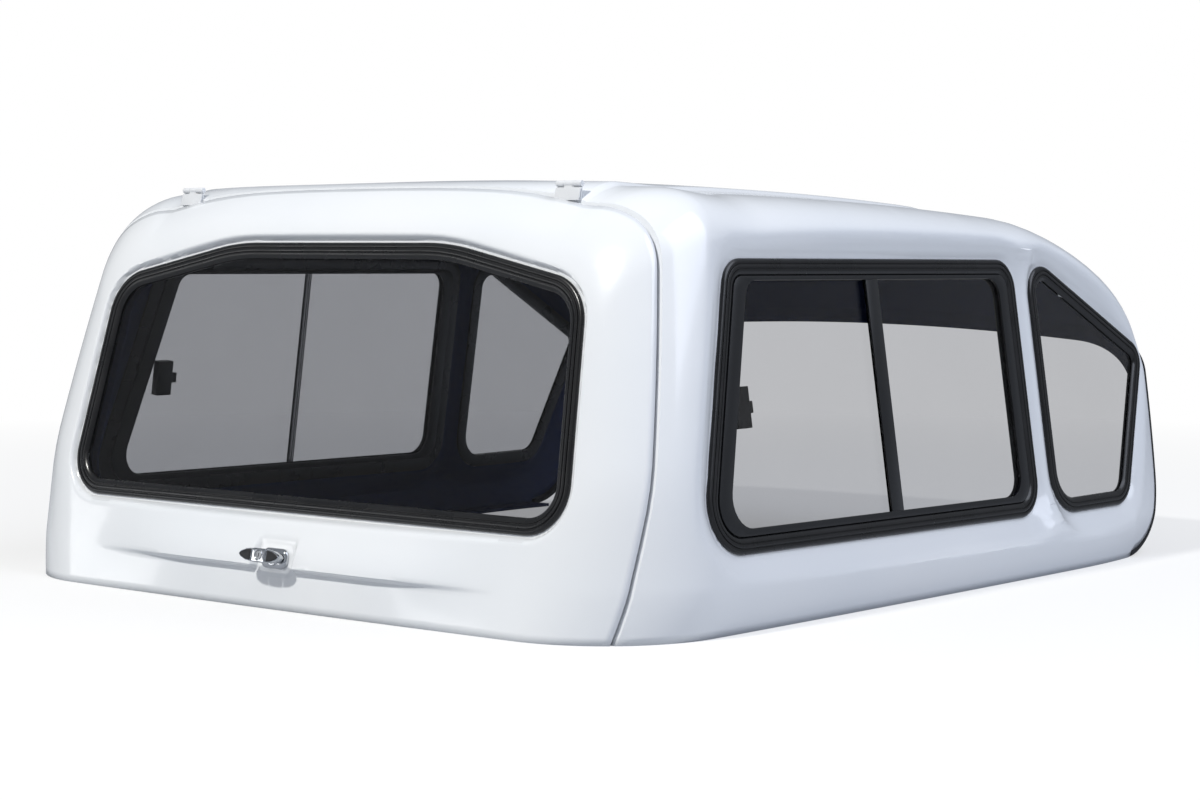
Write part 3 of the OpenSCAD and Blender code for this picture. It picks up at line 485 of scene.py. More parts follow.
def tube_mesh(name, rings, angle):
    """A solid through a row of closed rings, with flat ends."""
    rows, columns = rings.shape[:2]
    faces = grid_faces(rows, columns, False, True)
    faces += [tuple(range(columns))[::-1], tuple((rows - 1) * columns + c for c in range(columns))]
    return mesh_of(name, rings, faces, angle)


def capped_mesh(name, plane, shape, layers, steps, angle=30.0):
    """A solid of stacked outlines, closed at both ends."""
    rings = [plane.out(*outline(shape, grow, steps).T, np.full(len(shape[0]) * (steps + 1), h))
             for grow, h in layers]
    return tube_mesh(name, np.array(rings), angle)


def lathe_mesh(name, plane, profile, count):
    """A turned solid about the plane's normal: each profile point is a radius and a height."""
    a = np.arange(count) * 2 * math.pi / count
    rings = [plane.out(r * np.cos(a), r * np.sin(a), np.full(count, h)) for r, h in profile]
    return tube_mesh(name, np.array(rings), 30)


def joined(name, meshes):
    """One mesh of several."""
    bm = bmesh.new()
    for m in meshes:
        bm.from_mesh(m)
    made = bpy.data.meshes.new(name)
    bm.to_mesh(made)
    bm.free()
    made.shade_smooth()
    made.set_sharp_from_angle(angle=math.radians(35))
    return made


# Materials

def linear(hex_colour):
    """Linear colour of an sRGB hex value."""
    parts = [int(hex_colour[i:i + 2], 16) / 255 for i in (1, 3, 5)]
    return tuple(c / 12.92 if c <= 0.04045 else ((c + 0.055) / 1.055) ** 2.4 for c in parts) + (1.0,)


def add_node(tree, kind, inputs=None, links=None, **settings):
    """Adds a node with its settings, input values and incoming links."""
    node = tree.nodes.new(kind)
    for key, value in settings.items():
        setattr(node, key, value)
    for key, value in (inputs or {}).items():
        node.inputs[key].default_value = value
    for key, source in (links or {}).items():
        tree.links.new(source, node.inputs[key])
    return node


def grain(tree, size_mm, detail=2.0, stretch=(1, 1, 1)):
    """Noise in the object's own space, with features of about a size in millimetres."""
    where = add_node(tree, "ShaderNodeTexCoord")
    scale = [1 / (size_mm * MM) * s for s in stretch]
    scaled = add_node(tree, "ShaderNodeMapping", {"Scale": scale}, {"Vector": where.outputs["Object"]})
    noise = add_node(tree, "ShaderNodeTexNoise", {"Scale": 1.0, "Detail": detail},
                     {"Vector": scaled.outputs[0]})
    return noise.outputs[0]


def new_finish(name, colours, clouds, sockets, roughness=None, relief=None, ends=None):
    """A material whose colour, roughness and relief follow grains of real sizes.

    Grains are given as grain's arguments. clouds is the grain between the two colours, and ends the part of
    its range that spans them, if not all. roughness is the lowest and highest value and their grain. relief
    is the depth in millimetres, the strength, and grains that are added, each with its weight.
    """
    mat = bpy.data.materials.new(name)
    mat.use_nodes = True
    tree = mat.node_tree
    shader = tree.nodes["Principled BSDF"]
    for key, value in sockets.items():
        shader.inputs[key].default_value = value
    share = grain(tree, *clouds)
    if ends:
        share = add_node(tree, "ShaderNodeMapRange", {"From Min": ends[0], "From Max": ends[1]},
                         {"Value": share}).outputs[0]
    mixed = add_node(tree, "ShaderNodeMix", {}, {0: share}, data_type="RGBA", clamp_factor=True)
    mixed.inputs[6].default_value, mixed.inputs[7].default_value = [linear(c) for c in colours]
    tree.links.new(mixed.outputs[2], shader.inputs["Base Color"])
    if roughness:
        low, high, cells = roughness
        spread = add_node(tree, "ShaderNodeMapRange",
                          {"From Min": 0.3, "From Max": 0.7, "To Min": low, "To Max": high},
                          {"Value": grain(tree, *cells)})
        tree.links.new(spread.outputs[0], shader.inputs["Roughness"])
    if relief:
        depth, strength, *layers = relief
        height = None
        for weight, cells in layers:
            layer = grain(tree, *cells)
            if weight != 1:
                layer = add_node(tree, "ShaderNodeMath", {1: weight}, {0: layer},
                                 operation="MULTIPLY").outputs[0]
            if height is not None:
                layer = add_node(tree, "ShaderNodeMath", {}, {0: height, 1: layer},
                                 operation="ADD").outputs[0]
            height = layer
        bump = add_node(tree, "ShaderNodeBump", {"Strength": strength, "Distance": depth * MM},
                        {"Height": height})
        tree.links.new(bump.outputs[0], shader.inputs["Normal"])
    return mat


def gelcoat_material(colours):
    """Polyester gelcoat from a polished mould: white and glossy, with long soft waves and a fine peel."""
    return new_finish("gelcoat_moulded", (colours.gelcoat_low, colours.gelcoat), (420,),
                      {"IOR": 1.52, "Coat Weight": 0.5, "Coat Roughness": 0.06, "Coat IOR": 1.5},
                      (0.16, 0.24, (60, 4)), (0.6, 0.35, (0.08, (4, 1)), (1, (180, 1))), (0.35, 0.65))


def flowcoat_and_shade_material(colours):
    """Dark flowcoat brushed over glass mat: dull, with the mat's coarse strands showing through. Its dark navy
    is partly the coat's own colour and partly painted shade for the dim inside seen through the glass.
    """
    strands = (9, 5, (1, 0.35, 1))
    # Painted shade: both navy colours are darker than the coat alone, so the inside reads as shaded.
    return new_finish("flowcoat_brushed_and_shade", ("#1B2746", colours.flowcoat_and_shade), strands,
                      {"IOR": 1.5, "Specular IOR Level": 0.15},
                      (0.5, 0.72, strands), (0.8, 0.5, (1, strands)))


def window_rubber_material(colours):
    """Extruded EPDM rubber, dressed: black, with a satin gloss broken by faint die lines."""
    return new_finish("epdm_extruded", ("#060607", colours.rubber), (70, 3), {"IOR": 1.52},
                      (0.22, 0.36, (70, 3)), (0.05, 0.3, (1, (2.2, 3))))


def sponge_rubber_material(colours):
    """Sponge rubber with its extrusion skin: black and dull, with a fine open grain."""
    cells = (1.6, 3)
    return new_finish("sponge_rubber_extruded", ("#08080A", "#17171A"), cells, {"IOR": 1.5},
                      (0.48, 0.66, cells), (0.25, 0.6, (1, cells)))


def glass_material(colours):
    """Toughened float glass, tinted in the melt: clear grey and flat.

    Its IOR is set below real glass, because the pale studio would otherwise veil the dark inside.
    """
    return new_finish("float_glass_tinted", (colours.glass_low, colours.glass), (220, 2),
                      {"Roughness": 0.0, "IOR": 1.2, "Specular IOR Level": 0.15, "Transmission Weight": 1.0})


def black_coat_material(colours):
    """Powder-coated aluminium extrusion: satin black with a fine peel."""
    peel = (1.2, 2)
    return new_finish("aluminium_powder_coated", ("#08090B", "#101216"), (90,), {"IOR": 1.5},
                      (0.3, 0.4, peel), (0.05, 0.5, (1, peel)))


def chrome_material(colours):
    """Chromed zinc die casting: a bright mirror with a faint ripple from polishing."""
    return new_finish("zinc_casting_chromed", ("#B9BCC0", "#D6D8DB"), (14, 3), {"Metallic": 1.0},
                      (0.06, 0.16, (14, 3)), (0.06, 0.5, (1, (7, 2))))


def abs_material(colours):
    """Moulded ABS with a spark-eroded grain: matt black."""
    pits = (0.9, 3)
    return new_finish("abs_moulded", ("#0B0B0C", "#1A1A1C"), pits, {"IOR": 1.53},
                      (0.36, 0.52, pits), (0.08, 0.5, (1, pits)))


def stainless_material(colours):
    """Rolled stainless strip, brushed: bright, with fine lines along its length."""
    lines = (3, 3, (0.15, 4, 4))
    return new_finish("stainless_brushed", ("#8E9093", "#B8BABC"), lines, {"Metallic": 1.0},
                      (0.24, 0.4, lines), (0.03, 0.5, (1, lines)))


def painted_steel_material(colours):
    """Steel pressing, powder coated white: a soft gloss with a fine peel."""
    peel = (1.1, 2)
    return new_finish("steel_powder_coated", ("#D9DBDE", "#E6E8EA"), peel, {"IOR": 1.5},
                      (0.28, 0.4, peel), (0.05, 0.5, (1, peel)))


def zinc_material(colours):
    """Steel pressing, zinc plated and passivated: a dull yellowish metal."""
    return new_finish("steel_zinc_plated", ("#9A9880", "#BDBCB4"), (6, 3), {"Metallic": 1.0},
                      (0.3, 0.45, (6, 3)))


MAKERS = {
    "gelcoat": gelcoat_material, "flowcoat_and_shade": flowcoat_and_shade_material, "window_rubber": window_rubber_material,
    "sponge": sponge_rubber_material, "glass": glass_material, "black_coat": black_coat_material,
    "chrome": chrome_material, "abs": abs_material, "stainless": stainless_material, "zinc": zinc_material,
    "painted_steel": painted_steel_material,
}
made_materials = {}


def finish_of(key):
    """The material of a finish, made once."""
    if key not in made_materials:
        made_materials[key] = MAKERS[key](bpy.context.scene.canopy_colours)
    return made_materials[key]


def dress_solid(node, key, bevel_mm=0.0):
    """Gives a solid node its finish, smooth shading and eased edges."""
    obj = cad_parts[node]
    obj.data.materials.clear()
    obj.data.materials.append(finish_of(key))
    for p in obj.data.polygons:
        p.use_smooth = True
    weld = obj.modifiers.new("weld", "WELD")
    weld.merge_threshold = 2e-6
    if bevel_mm:
        eased = obj.modifiers.new("eased", "BEVEL")
        eased.width, eased.segments = bevel_mm * MM, 2
        eased.limit_method, eased.angle_limit = "ANGLE", math.radians(40)
        eased.use_clamp_overlap = True
    split = obj.modifiers.new("split", "EDGE_SPLIT")
    split.split_angle = math.radians(30)


# Skins

CORNER_COLUMNS, BODY_COLUMNS, FOOT_COLUMNS = 12, 34, 14


def foot_height(v):
    """Height of the shell's lower edge at a station: its front foot is rounded up."""
    along = np.clip(v - (FRONT_V - FOOT_RADIUS), 0, FOOT_RADIUS)
    return np.where(along > 0, FOOT_LOW + FOOT_RADIUS - np.sqrt(FOOT_RADIUS ** 2 - along ** 2), 0.0)


def shell_surface(params):
    """Shell points by row round the arch and by place u.

    u is -1 to 0 across the rear flange, to 1 round the corner, to 2 along the side, to 3 round the foot's
    front and to 4 across the front flange.
    """
    m, u = params[:, 0], params[:, 1]
    row, side = np.where(m <= TOP_ROW, m, 2 * TOP_ROW - m), np.where(m <= TOP_ROW, 1.0, -1.0)
    part = PART_V + DOOR_GAP / 2
    flange = np.clip(-u, 0, 1) * FLANGE_WIDTH
    turn = corner_turn(row, part, flange) * (1 - np.clip(u, 0, 1))
    rear = corner_point(row, side, turn, flange)
    radius, t = corner_radius(row), np.clip(u - 1, 0, 1)
    swing = np.clip(u - 2, 0, 1) * math.pi / 2
    corner_end = REAR_V + radius + face_v(section(row, REAR_V + radius, radius)[0], 0 * row) - REAR_V
    v = np.where(u <= 2, mix(corner_end, FRONT_V - FOOT_RADIUS, t),
                 FRONT_V - FOOT_RADIUS * (1 - np.sin(swing)))
    x, z = section(row, v, np.clip(u - 3, 0, 1) * FRONT_FLANGE, foot_height(v))
    body = np.stack([side * x, v + lean_at(v) * z + SHIFT, z], axis=-1)
    return np.where((u <= 1)[:, None], rear, body)


def door_surface(params):
    """Door skin points by row and by place u.

    u is 0 to 1 round the right corner, to 3 across the face and to 4 round the left corner.
    """
    row, u = params[:, 0], params[:, 1]
    part = PART_V - DOOR_GAP / 2
    near = np.where(u < 2, u, 4 - u)
    start = corner_turn(row, part, 0)
    turn = mix(start, math.pi / 2, np.clip(near, 0, 1))
    corner = corner_point(row, np.where(u < 2, 1.0, -1.0), turn, 0)
    x, z = section(row, REAR_V + corner_radius(row), corner_radius(row))
    x = x * np.clip(2 - u, -1, 1)
    v = face_v(x, z)
    face = np.stack([x, v + lean_at(v) * z + SHIFT, z], axis=-1)
    return np.where((near <= 1)[:, None], corner, face)


def split_rows(last, parts):
    """Rows from 0 to the last, with each step split into parts."""
    return np.linspace(0, last, last * parts + 1)


def grid_of(rows, columns):
    """Places and quads of a grid of rows and columns."""
    params = [(r, c, 0.0) for r in rows for c in columns]
    return params, grid_faces(len(rows), len(columns))


def shell_mesh(sizes):
    """Outer skin of the canopy's shell, with its side windows open."""
    columns = np.concatenate([[-1, -0.5, -0.12], np.linspace(0, 1, CORNER_COLUMNS, endpoint=False),
                              np.linspace(1, 2, BODY_COLUMNS, endpoint=False),
                              np.linspace(2, 3, FOOT_COLUMNS), [3.12, 3.5, 4]])
    params, faces = grid_of(split_rows(2 * TOP_ROW, 2), columns)
    return refined_mesh("shell_skin", params, faces, shell_surface, sides_of,
                        lambda p: pressed_sides(p, sizes.lip_blend))


def door_mesh(sizes):
    """Outer skin of the rear door, with its window open. Its columns are closer beside the handle's seat."""
    right = np.concatenate([[0, 0.02, 0.04, 0.052, 0.06, 0.066, 0.072, 0.078, 0.086, 0.1, 0.13, 0.17, 0.21],
                            np.arange(0.25, 0.99, 0.04)])
    columns = np.concatenate([np.linspace(0, 1, CORNER_COLUMNS + 1), 2 - right[::-1], 2 + right[1:],
                              np.linspace(3, 4, CORNER_COLUMNS + 1)])
    params, faces = grid_of(split_rows(TOP_ROW, 2), columns)

    def window_gap(points):
        s, t, _ = rear_frame(REAR_RECESS).into(points)
        return distance(REAR_SHAPE, s, t)

    def near_gap(points):
        s, t, _ = rear_frame(0).into(points)
        seat = np.abs(distance(SEAT_SHAPE, s, t) - SEAT_MIDDLE) + SEAT_MIDDLE
        return np.minimum(np.abs(window_gap(points) - WALL_MIDDLE), seat) + WALL_MIDDLE

    return refined_mesh("door_outer", params, faces, door_surface, window_gap,
                        lambda p: pressed_rear(p, sizes.lip_blend), near_gap)


def add_skin(name, mesh, body, wall, replaces):
    """A moulded skin: gelcoat outside, and on its inner side a dark flowcoat whose colour is partly painted
    shade.
    """
    finish_mesh(mesh, 40)
    obj = add_piece(name, mesh, body, "gelcoat", finish_of("gelcoat"), finish_of("flowcoat_and_shade"),
                    replaces=(replaces,))
    thick = obj.modifiers.new("wall", "SOLIDIFY")
    thick.thickness, thick.offset, thick.material_offset = wall * MM, -1, 1
    return obj


# Rubbers

def rubber_profile(skin, ridge):
    """Growth and height of a window rubber's section: ridged lip outside, neck, flat lip inside."""
    low = RUBBER_WIDTH
    groove = 5.4 - ridge
    top = [(0.0, 0.6), (0.2, 1.6), (-0.3, 3.0), (-1.4, 4.4), (-3.2, 5.5), (-5.4, 5.9), (-7.4, 5.4),
           (-8.0, groove), (-8.9, groove), (-9.5, 5.5), (-11.2, 5.9), (-13.0, 5.9), (-14.6, 5.5),
           (-15.2, groove), (-16.1, groove), (-16.8, 5.2), (-19.0, 5.2), (-21.5, 4.4), (-24.0, 2.8),
           (-25.6, 1.1), (-low, 0.4)]
    neck_in, neck_out = -low + RUBBER_GRIP + SEAT_GAP, -RUBBER_GRIP - SEAT_GAP
    seat = -skin - SEAT_GAP
    under = [(neck_in, 0.35), (neck_in, seat), (-low, seat), (-low + 0.8, -skin - 3.4),
             (-low + 2.4, -skin - 4), (-2.4, -skin - 4), (-0.8, -skin - 3.4), (0, seat),
             (neck_out, seat), (neck_out, 0.35)]
    return top + under


def add_window_rubber(node, plane, shape, skin, body, sizes):
    """Adds a ridged rubber in place of a node: its section swept round the window's outline."""
    profile = [(shape, g, h) for g, h in rubber_profile(skin, sizes.ridge_depth)]
    name = node + "_ridged"
    add_piece(name, ring_mesh(name, plane, profile, 16, 34), body, "window_rubber",
              finish_of("window_rubber"), replaces=(node,))


def front_seal_mesh():
    """Bulb seal swept up one rounded foot, round the front edge and down the other foot."""
    half = []
    for a in np.radians(np.linspace(2, 90, 26)):
        z, v = FOOT_LOW + FOOT_RADIUS * (1 - math.cos(a)), FRONT_V - FOOT_RADIUS * (1 - math.sin(a))
        half.append(([float(side_x(z, v)), v + SHIFT, z], [0, math.sin(a), -math.cos(a)], [-1, 0, 0]))
    rows = [r for r in np.linspace(0, TOP_ROW, TOP_ROW * 3 + 1)
            if float(section(r, FRONT_V, 0)[1]) > FOOT_LOW + FOOT_RADIUS + 3]
    for r in rows:
        p = [float(q) for q in section(r, FRONT_V, 0)]
        a, b = [np.array([float(q) for q in section(np.clip(r + d, 0, TOP_ROW), FRONT_V, 0)])
                for d in (-0.3, 0.3)]
        t = (b - a) / np.linalg.norm(b - a)
        inward = [0, 0, -1] if r == TOP_ROW else [-t[1], 0, t[0]]
        half.append(([p[0], FRONT_V + SHIFT, p[1]], [0, 1, 0], inward))
    flip = np.array([-1, 1, 1])
    path = half + [tuple(np.array(q) * flip for q in f) for f in half[-2::-1]]
    profile = [(0.35, -1.5), (2.6, -1.5), (3.2, -0.6), (3.0, 0.6), (5.6, 0.2), (8.6, 0.9), (11.0, 2.8),
               (11.9, 5.6), (11.9, 8.6), (11.0, 11.4), (8.8, 13.6), (5.6, 14.6), (3.0, 14.4), (2.8, 15.6),
               (2.0, 16.0), (0.35, 16.0)]
    rings = [[np.array(o) + a * np.array(d) + b * np.array(e) for a, b in profile] for o, d, e in path]
    return tube_mesh("front_seal_bulb", np.array(rings), 40)


# Handle

def handle_frame():
    """Plane of the handle's seat, with its origin on the handle's axis."""
    return rear_frame(0, HANDLE_HEIGHT, SEAT_OUT)


def box_outline(width, height, radius):
    """Outline of a rounded rectangle about the origin."""
    w, h = width / 2, height / 2
    return ([[-w, -h], [w, -h], [w, h], [-w, h]], [radius] * 4)


def arm_outline(side):
    """Outline of one pointed arm of the handle."""
    p = [[16.2, -10.4], [29, -8.8], [40, -4.6], [44.4, 0], [40, 4.6], [29, 8.8], [16.2, 10.4]]
    return [[x * side, y] for x, y in (p if side > 0 else p[::-1])], [1.2, 3, 3, 1.5, 3, 3, 1.2]


def handle_meshes(sizes):
    """Meshes of the handle by piece name, with their finish, slot, body and nodes.

    Turned pieces are profiles of radius and height, the others stacks of growth and height over the seat.
    """
    f, rim = handle_frame(), sizes.grip_rim
    low = PLATE_THICK + NECK_LENGTH
    high = low + BAR_THICK
    plate = capped_mesh("plate", f, box_outline(PLATE_WIDTH, PLATE_HEIGHT, 13),
                        [(-0.2, 0.35), (0, 0.8), (0, 3.2), (-0.5, 4.6), (-1.7, 6.0), (-3.6, 7.1), (-6, 7.7),
                         (-9, 8.0)], 12, 40)
    collar = lathe_mesh("collar", f, [(12.4, 7.2), (12.4, 8.8), (11.8, 9.6), (10.2, 9.9), (9.2, 9.9),
                                      (9.0, 10.4), (8.8, low - 1.2), (9.3, low - 0.4), (9.3, low + 0.2)], 64)
    block, bore = box_outline(30, BAR_HEIGHT, 3.2), box_outline(14, 14, 6.99)
    outside = [(-1.8, low + 0.1), (-0.5, low + 0.7), (0, low + 2), (0, high - 3), (-0.4, high - 1.6),
               (-1.2, high - 0.8), (-2.4, high - 0.6)]
    inside = [(1.6, high - 0.6), (1.3, high - 0.1), (0.5, high), (0, high - 0.3), (0, high - 4.2),
              (-4, high - 4.2)]
    middle = ring_mesh("middle", f, [(block, *p) for p in outside] + [(bore, *p) for p in inside], 12, 40)
    arm_stack = [(-2.2, low + 0.3), (-0.6, low + 1.1), (0, low + 2.6), (0, high - 2.6), (-0.3, high - 1.6),
                 (-rim * 0.5, high - 1.2), (-rim, high - 1.4), (-rim - 0.1, high - 3)]
    insert_stack = [(-rim, high - 3), (-rim, high - 1.5), (-rim - 0.4, high - 1.0), (-rim - 1.4, high - 0.7)]
    arms = [capped_mesh("arm", f, arm_outline(side), arm_stack, 5, 40) for side in (-1, 1)]
    inserts = [capped_mesh("insert", f, arm_outline(side), insert_stack, 5, 30) for side in (-1, 1)]
    lock = lathe_mesh("lock", f, [(6.6, high - 4), (6.6, high - 1.1), (6.2, high - 0.8), (4.6, high - 0.8),
                                  (4.3, high - 1.4)], 64)
    way = capped_mesh("keyway", f, box_outline(1.6, 6.4, 0.7),
                      [(0, high - 1.6), (0, high - 1.25), (-0.2, high - 1.2)], 5)
    return {name: (joined(name, parts), *rest) for name, parts, *rest in (
        ("handle_escutcheon", [plate, collar], "chrome", "chrome_plate", "door", ("handle_base",)),
        ("handle_t_bar", [middle] + arms, "chrome", "chrome_plate", "handle", ("handle_bar",)),
        ("handle_inserts", inserts, "abs", "black_plastic", "handle", ("handle_grips",)),
        ("handle_cylinder", [lock], "stainless", "chrome_plate", "handle", ("handle_lock",)),
        ("handle_keyway", [way], "abs", "black_plastic", "handle", ()),
    )}


# Stage

def direct_rays(tree):
    """1 for rays from the camera or through glass, else 0."""
    rays = add_node(tree, "ShaderNodeLightPath").outputs
    return add_node(tree, "ShaderNodeMath", {}, {0: rays["Is Camera Ray"], 1: rays["Is Transmission Ray"]},
                    operation="MAXIMUM").outputs[0]


def stage_material(colours):
    """Painted paper backdrop: pale and dull; far from the object it is plain white to the camera."""
    mat = bpy.data.materials.new("backdrop_painted")
    mat.use_nodes = True
    tree = mat.node_tree
    shader = tree.nodes["Principled BSDF"]
    where = add_node(tree, "ShaderNodeTexCoord").outputs["Object"]
    away = add_node(tree, "ShaderNodeVectorMath", {}, {0: where}, operation="LENGTH").outputs["Value"]
    far = add_node(tree, "ShaderNodeMapRange",
                   {"From Min": 1.0, "From Max": 4.0, "To Min": 0.55, "To Max": 1}, {"Value": away})
    direct = direct_rays(tree)
    mixed = add_node(tree, "ShaderNodeMix", {}, {0: direct}, data_type="RGBA", clamp_factor=True)
    mixed.inputs[6].default_value = linear(colours.floor_low)
    mixed.inputs[7].default_value = linear(colours.floor)
    tree.links.new(mixed.outputs[2], shader.inputs["Base Color"])
    shader.inputs["Roughness"].default_value = 0.9
    glow = add_node(tree, "ShaderNodeEmission", {"Color": (1, 1, 1, 1), "Strength": 1.0})
    factor = add_node(tree, "ShaderNodeMath", {}, {0: far.outputs[0], 1: direct}, operation="MULTIPLY")
    result = add_node(tree, "ShaderNodeMixShader", {},
                      {0: factor.outputs[0], 1: shader.outputs[0], 2: glow.outputs[0]})
    tree.links.new(result.outputs[0], tree.nodes["Material Output"].inputs["Surface"])
    return mat


def add_lamp(name, place, aim, size, power, colour):
    """Adds an area lamp at a place, aimed at a point."""
    lamp = bpy.data.lights.new(name, "AREA")
    lamp.shape, lamp.size, lamp.size_y = "RECTANGLE", size[0], size[1]
    lamp.energy, lamp.color = power, linear(colour)[:3]
    obj = bpy.data.objects.new(name, lamp)
    obj.location = place
    obj.rotation_euler = (Vector(aim) - Vector(place)).to_track_quat("-Z", "Y").to_euler()
    bpy.context.scene.collection.objects.link(obj)


# Lamps: place, aim and size in metres, power as a share of the key's, and colour.
LAMPS = (
    ("key", (-0.5, -5.9, 6.2), (0, -0.3, 0.3), (0.4, 0.4), 1.0, "#FFFDF8"),
    ("fill", (-6.9, -7.0, 1.2), (0, -0.8, 0.1), (3.4, 1.5), 0.09, "#FFFFFF"),
    ("sky", (4.6, 1.0, 5.0), (0.3, 0.1, 0.4), (5.0, 6.0), 0.62, "#EAF0FF"),
)

# Camera: place in metres, directions in degrees, and focal length in pixels of the photograph's frame.
CAMERA_PLACE, CAMERA_FOCUS, FRAME_WIDTH, SENSOR_WIDTH = (2.793, -3.4032, 0.561), 2488.4, 1200, 36.0
CAMERA_AZIMUTH, CAMERA_HEIGHT, CAMERA_ROLL = 39.14, 3.56, 0.09


def add_camera():
    """Adds the camera at the photograph's viewing angle."""
    az, el = math.radians(CAMERA_AZIMUTH), math.radians(CAMERA_HEIGHT)
    back = Vector((math.sin(az) * math.cos(el), -math.cos(az) * math.cos(el), math.sin(el)))
    right = Vector((math.cos(az), math.sin(az), 0))
    cam = bpy.data.cameras.new("camera")
    cam.sensor_width, cam.lens = SENSOR_WIDTH, CAMERA_FOCUS * SENSOR_WIDTH / FRAME_WIDTH
    obj = bpy.data.objects.new("camera", cam)
    turned = Matrix((right, back.cross(right), back)).transposed().to_4x4()
    roll = Matrix.Rotation(math.radians(CAMERA_ROLL), 4, "Z")
    obj.matrix_world = Matrix.Translation(CAMERA_PLACE) @ turned @ roll
    cam.clip_end = 200
    bpy.context.scene.collection.objects.link(obj)
    bpy.context.scene.camera = obj


# Settings, operators and panel

class CanopySizes(bpy.types.PropertyGroup):
    """Sizes of the details that the solid model leaves plain, in millimetres."""

    lip_blend: FloatProperty(
        name="Lip blend", description="Softness of the rear recess's edges in mm, a third of the sides'",
        default=5.0, min=1.0, max=9.0)
    ridge_depth: FloatProperty(
        name="Ridge depth", description="Depth of the grooves along the window rubbers, in mm",
        default=1.3, min=0.3, max=2.5)
    grip_rim: FloatProperty(
        name="Grip rim", description="Width of the bright rim round the handle's inserts, in mm",
        default=1.5, min=1.0, max=3.5)
    eased_edge: FloatProperty(
        name="Eased edge", description="Rounding of the edges of extrusions and pressings, in mm",
        default=0.5, min=0.1, max=1.0)


class CanopyColours(bpy.types.PropertyGroup):
    """Colours of the finishes as sRGB hex values, and the studio's light."""

    gelcoat: StringProperty(name="Gelcoat", description="White of the moulded skins", default="#EDEFF1")
    gelcoat_low: StringProperty(
        name="Gelcoat shade", description="Darker cloud in the same white", default="#E9ECEF")
    # Painted shade: this dark navy of the inner coat also stands for the shade inside the canopy.
    flowcoat_and_shade: StringProperty(name="Flowcoat", description="Dark coat on the inner sides", default="#2D3B62")
    rubber: StringProperty(name="Rubber", description="Black of the window rubbers", default="#0E0E10")
    glass: StringProperty(name="Glass", description="Tint of the glass", default="#BDBEC1")
    glass_low: StringProperty(
        name="Glass shade", description="Darker cloud in the same tint", default="#B9BABD")
    floor: StringProperty(name="Floor", description="Colour of the studio floor", default="#F4F4F3")
    floor_low: StringProperty(
        name="Floor bounce", description="Colour that the floor throws back on the object", default="#A8ABB0")
    key_power: FloatProperty(
        name="Key power", description="Power of the main lamp", default=460.0, min=0.0, unit="POWER")


class CANOPY_OT_stage(bpy.types.Operator):
    """Builds the floor, the lamps and the camera"""

    bl_idname = "canopy.stage"
    bl_label = "Studio stage"

    def execute(self, context):
        colours = context.scene.canopy_colours
        add_camera()
        mesh = bpy.data.meshes.new("floor")
        half = 60
        mesh.from_pydata([(-half, -half, 0), (half, -half, 0), (half, half, 0), (-half, half, 0)], [],
                         [(0, 1, 2, 3)])
        floor = bpy.data.objects.new("floor", mesh)
        mesh.materials.append(stage_material(colours))
        context.scene.collection.objects.link(floor)
        for name, place, aim, size, share, colour in LAMPS:
            add_lamp(name, place, aim, size, colours.key_power * share, colour)
        world = bpy.data.worlds.new("studio")
        world.use_nodes = True
        tree = world.node_tree
        sky = tree.nodes["Background"]
        sky.inputs["Color"].default_value = linear("#E4EAF4")
        sky.inputs["Strength"].default_value = 0.36
        white = add_node(tree, "ShaderNodeBackground", {"Color": (1, 1, 1, 1), "Strength": 1.0})
        mixed = add_node(tree, "ShaderNodeMixShader", {},
                         {0: direct_rays(tree), 1: sky.outputs[0], 2: white.outputs[0]})
        tree.links.new(mixed.outputs[0], tree.nodes["World Output"].inputs["Surface"])
        context.scene.world = world
        context.scene.view_settings.view_transform = "Standard"
        return {"FINISHED"}


class CANOPY_OT_skins(bpy.types.Operator):
    """Builds the moulded skins of the shell and the door, and dresses the inner panel and the base rails"""

    bl_idname = "canopy.skins"
    bl_label = "Moulded skins"

    def execute(self, context):
        sizes = context.scene.canopy_sizes
        add_skin("shell_skin", shell_mesh(sizes), "canopy", WALL, "shell")
        add_skin("door_outer", door_mesh(sizes), "door", DOOR_WALL, "door_skin")
        # The door's inner panel and the base rails take the flowcoat, whose dark navy is partly painted shade.
        dress_solid("door_inner", "flowcoat_and_shade")
        for side in ("left", "right"):
            dress_solid("base_rail_" + side, "flowcoat_and_shade", sizes.eased_edge)
        return {"FINISHED"}


class CANOPY_OT_rubbers(bpy.types.Operator):
    """Builds the ridged rubbers of the windows and the bulb seal of the front, and dresses the door's seal"""

    bl_idname = "canopy.rubbers"
    bl_label = "Rubbers and seals"

    def execute(self, context):
        sizes = context.scene.canopy_sizes
        for side, name in ((-1, "left"), (1, "right")):
            for kind, shape in (("main", MAIN_SHAPE), ("quarter", QUARTER_SHAPE)):
                node = f"{kind}_rubber_{name}"
                add_window_rubber(node, side_frame(side), shape, WALL, "canopy", sizes)
        add_window_rubber("rear_rubber", rear_frame(REAR_RECESS), REAR_SHAPE, DOOR_WALL, "door", sizes)
        add_piece("front_seal_bulb", front_seal_mesh(), "canopy", "seal_rubber", finish_of("sponge"),
                  replaces=("front_seal",))
        dress_solid("door_seal", "sponge")
        return {"FINISHED"}


class CANOPY_OT_windows(bpy.types.Operator):
    """Dresses the glass, the sliding windows' frames and bars, and their catches"""

    bl_idname = "canopy.windows"
    bl_label = "Windows"

    def execute(self, context):
        sizes = context.scene.canopy_sizes
        for side in ("left", "right"):
            for node in ("main_pane_front_", "main_pane_rear_", "quarter_glass_"):
                dress_solid(node + side, "glass")
            dress_solid("main_frame_" + side, "black_coat", sizes.eased_edge)
            dress_solid("main_bar_" + side, "black_coat", sizes.eased_edge)
            dress_solid("window_latch_" + side, "abs", 2 * sizes.eased_edge)
        dress_solid("rear_glass", "glass")
        return {"FINISHED"}


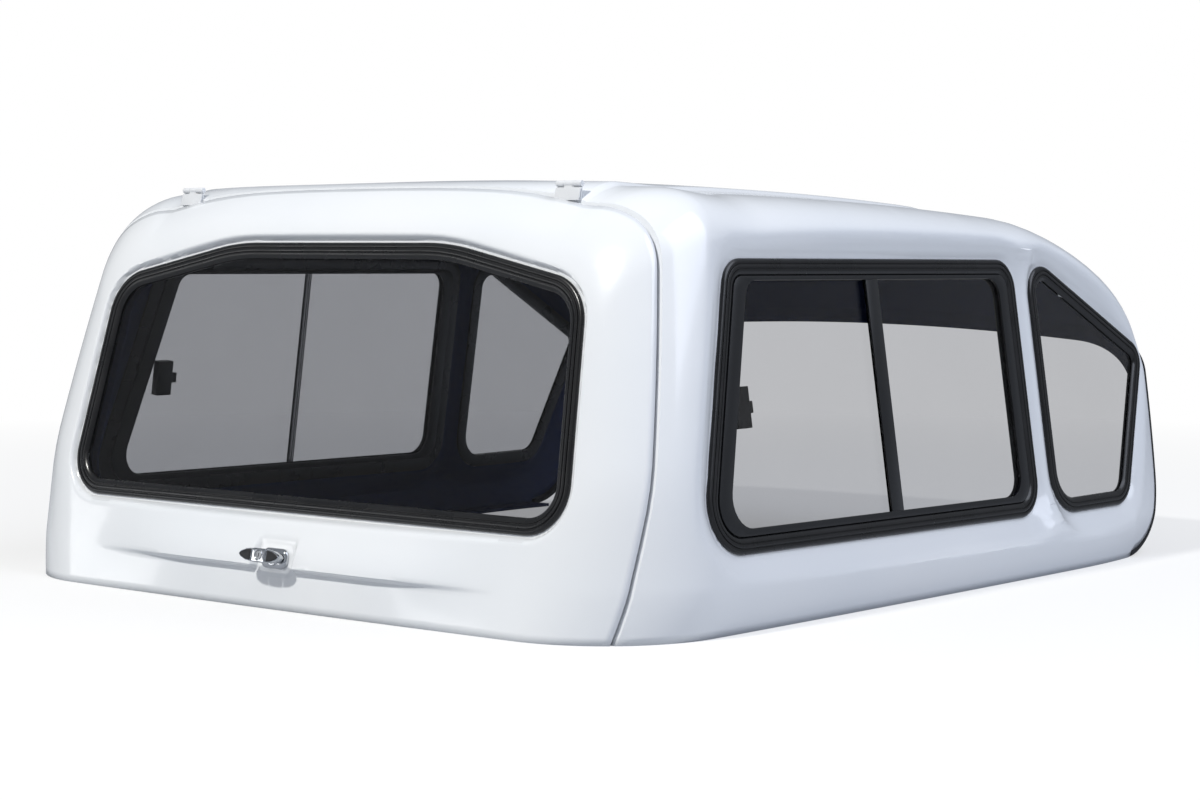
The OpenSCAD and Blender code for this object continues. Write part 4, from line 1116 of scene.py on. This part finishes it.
class CANOPY_OT_fittings(bpy.types.Operator):
    """Builds the T-handle with its lock, and dresses the hinges and the cam"""

    bl_idname = "canopy.fittings"
    bl_label = "Handle and hinges"

    def execute(self, context):
        sizes = context.scene.canopy_sizes
        for name, (mesh, finish, slot, body, nodes) in handle_meshes(sizes).items():
            add_piece(name, mesh, body, slot, finish_of(finish), replaces=nodes)
        dress_solid("handle_cam", "zinc", 0.3)
        for side in ("left", "right"):
            dress_solid("hinge_body_" + side, "painted_steel", 0.2)
            dress_solid("hinge_door_" + side, "painted_steel", 0.2)
        return {"FINISHED"}


OPERATORS = (CANOPY_OT_stage, CANOPY_OT_skins, CANOPY_OT_rubbers, CANOPY_OT_windows, CANOPY_OT_fittings)


class CANOPY_PT_panel(bpy.types.Panel):
    """Lists the settings and the steps that build the canopy"""

    bl_idname = "CANOPY_PT_panel"
    bl_label = "Pickup canopy"
    bl_space_type = "VIEW_3D"
    bl_region_type = "UI"
    bl_category = "Canopy"

    def draw(self, context):
        layout = self.layout
        for group in (context.scene.canopy_sizes, context.scene.canopy_colours):
            box = layout.box()
            for key in group.bl_rna.properties.keys():
                if key not in ("rna_type", "name"):
                    box.prop(group, key)
        for operator in OPERATORS:
            layout.operator(operator.bl_idname)


CLASSES = (CanopySizes, CanopyColours) + OPERATORS + (CANOPY_PT_panel,)


def register():
    """Registers the settings, operators and panel."""
    for cls in CLASSES:
        bpy.utils.register_class(cls)
    bpy.types.Scene.canopy_sizes = PointerProperty(type=CanopySizes)
    bpy.types.Scene.canopy_colours = PointerProperty(type=CanopyColours)


def unregister():
    """Removes what register() adds."""
    del bpy.types.Scene.canopy_sizes
    del bpy.types.Scene.canopy_colours
    for cls in reversed(CLASSES):
        bpy.utils.unregister_class(cls)


def main():
    """Builds every piece."""
    register()
    bpy.ops.canopy.stage()
    bpy.ops.canopy.skins()
    bpy.ops.canopy.rubbers()
    bpy.ops.canopy.windows()
    bpy.ops.canopy.fittings()


if __name__ == "__main__":
    main()
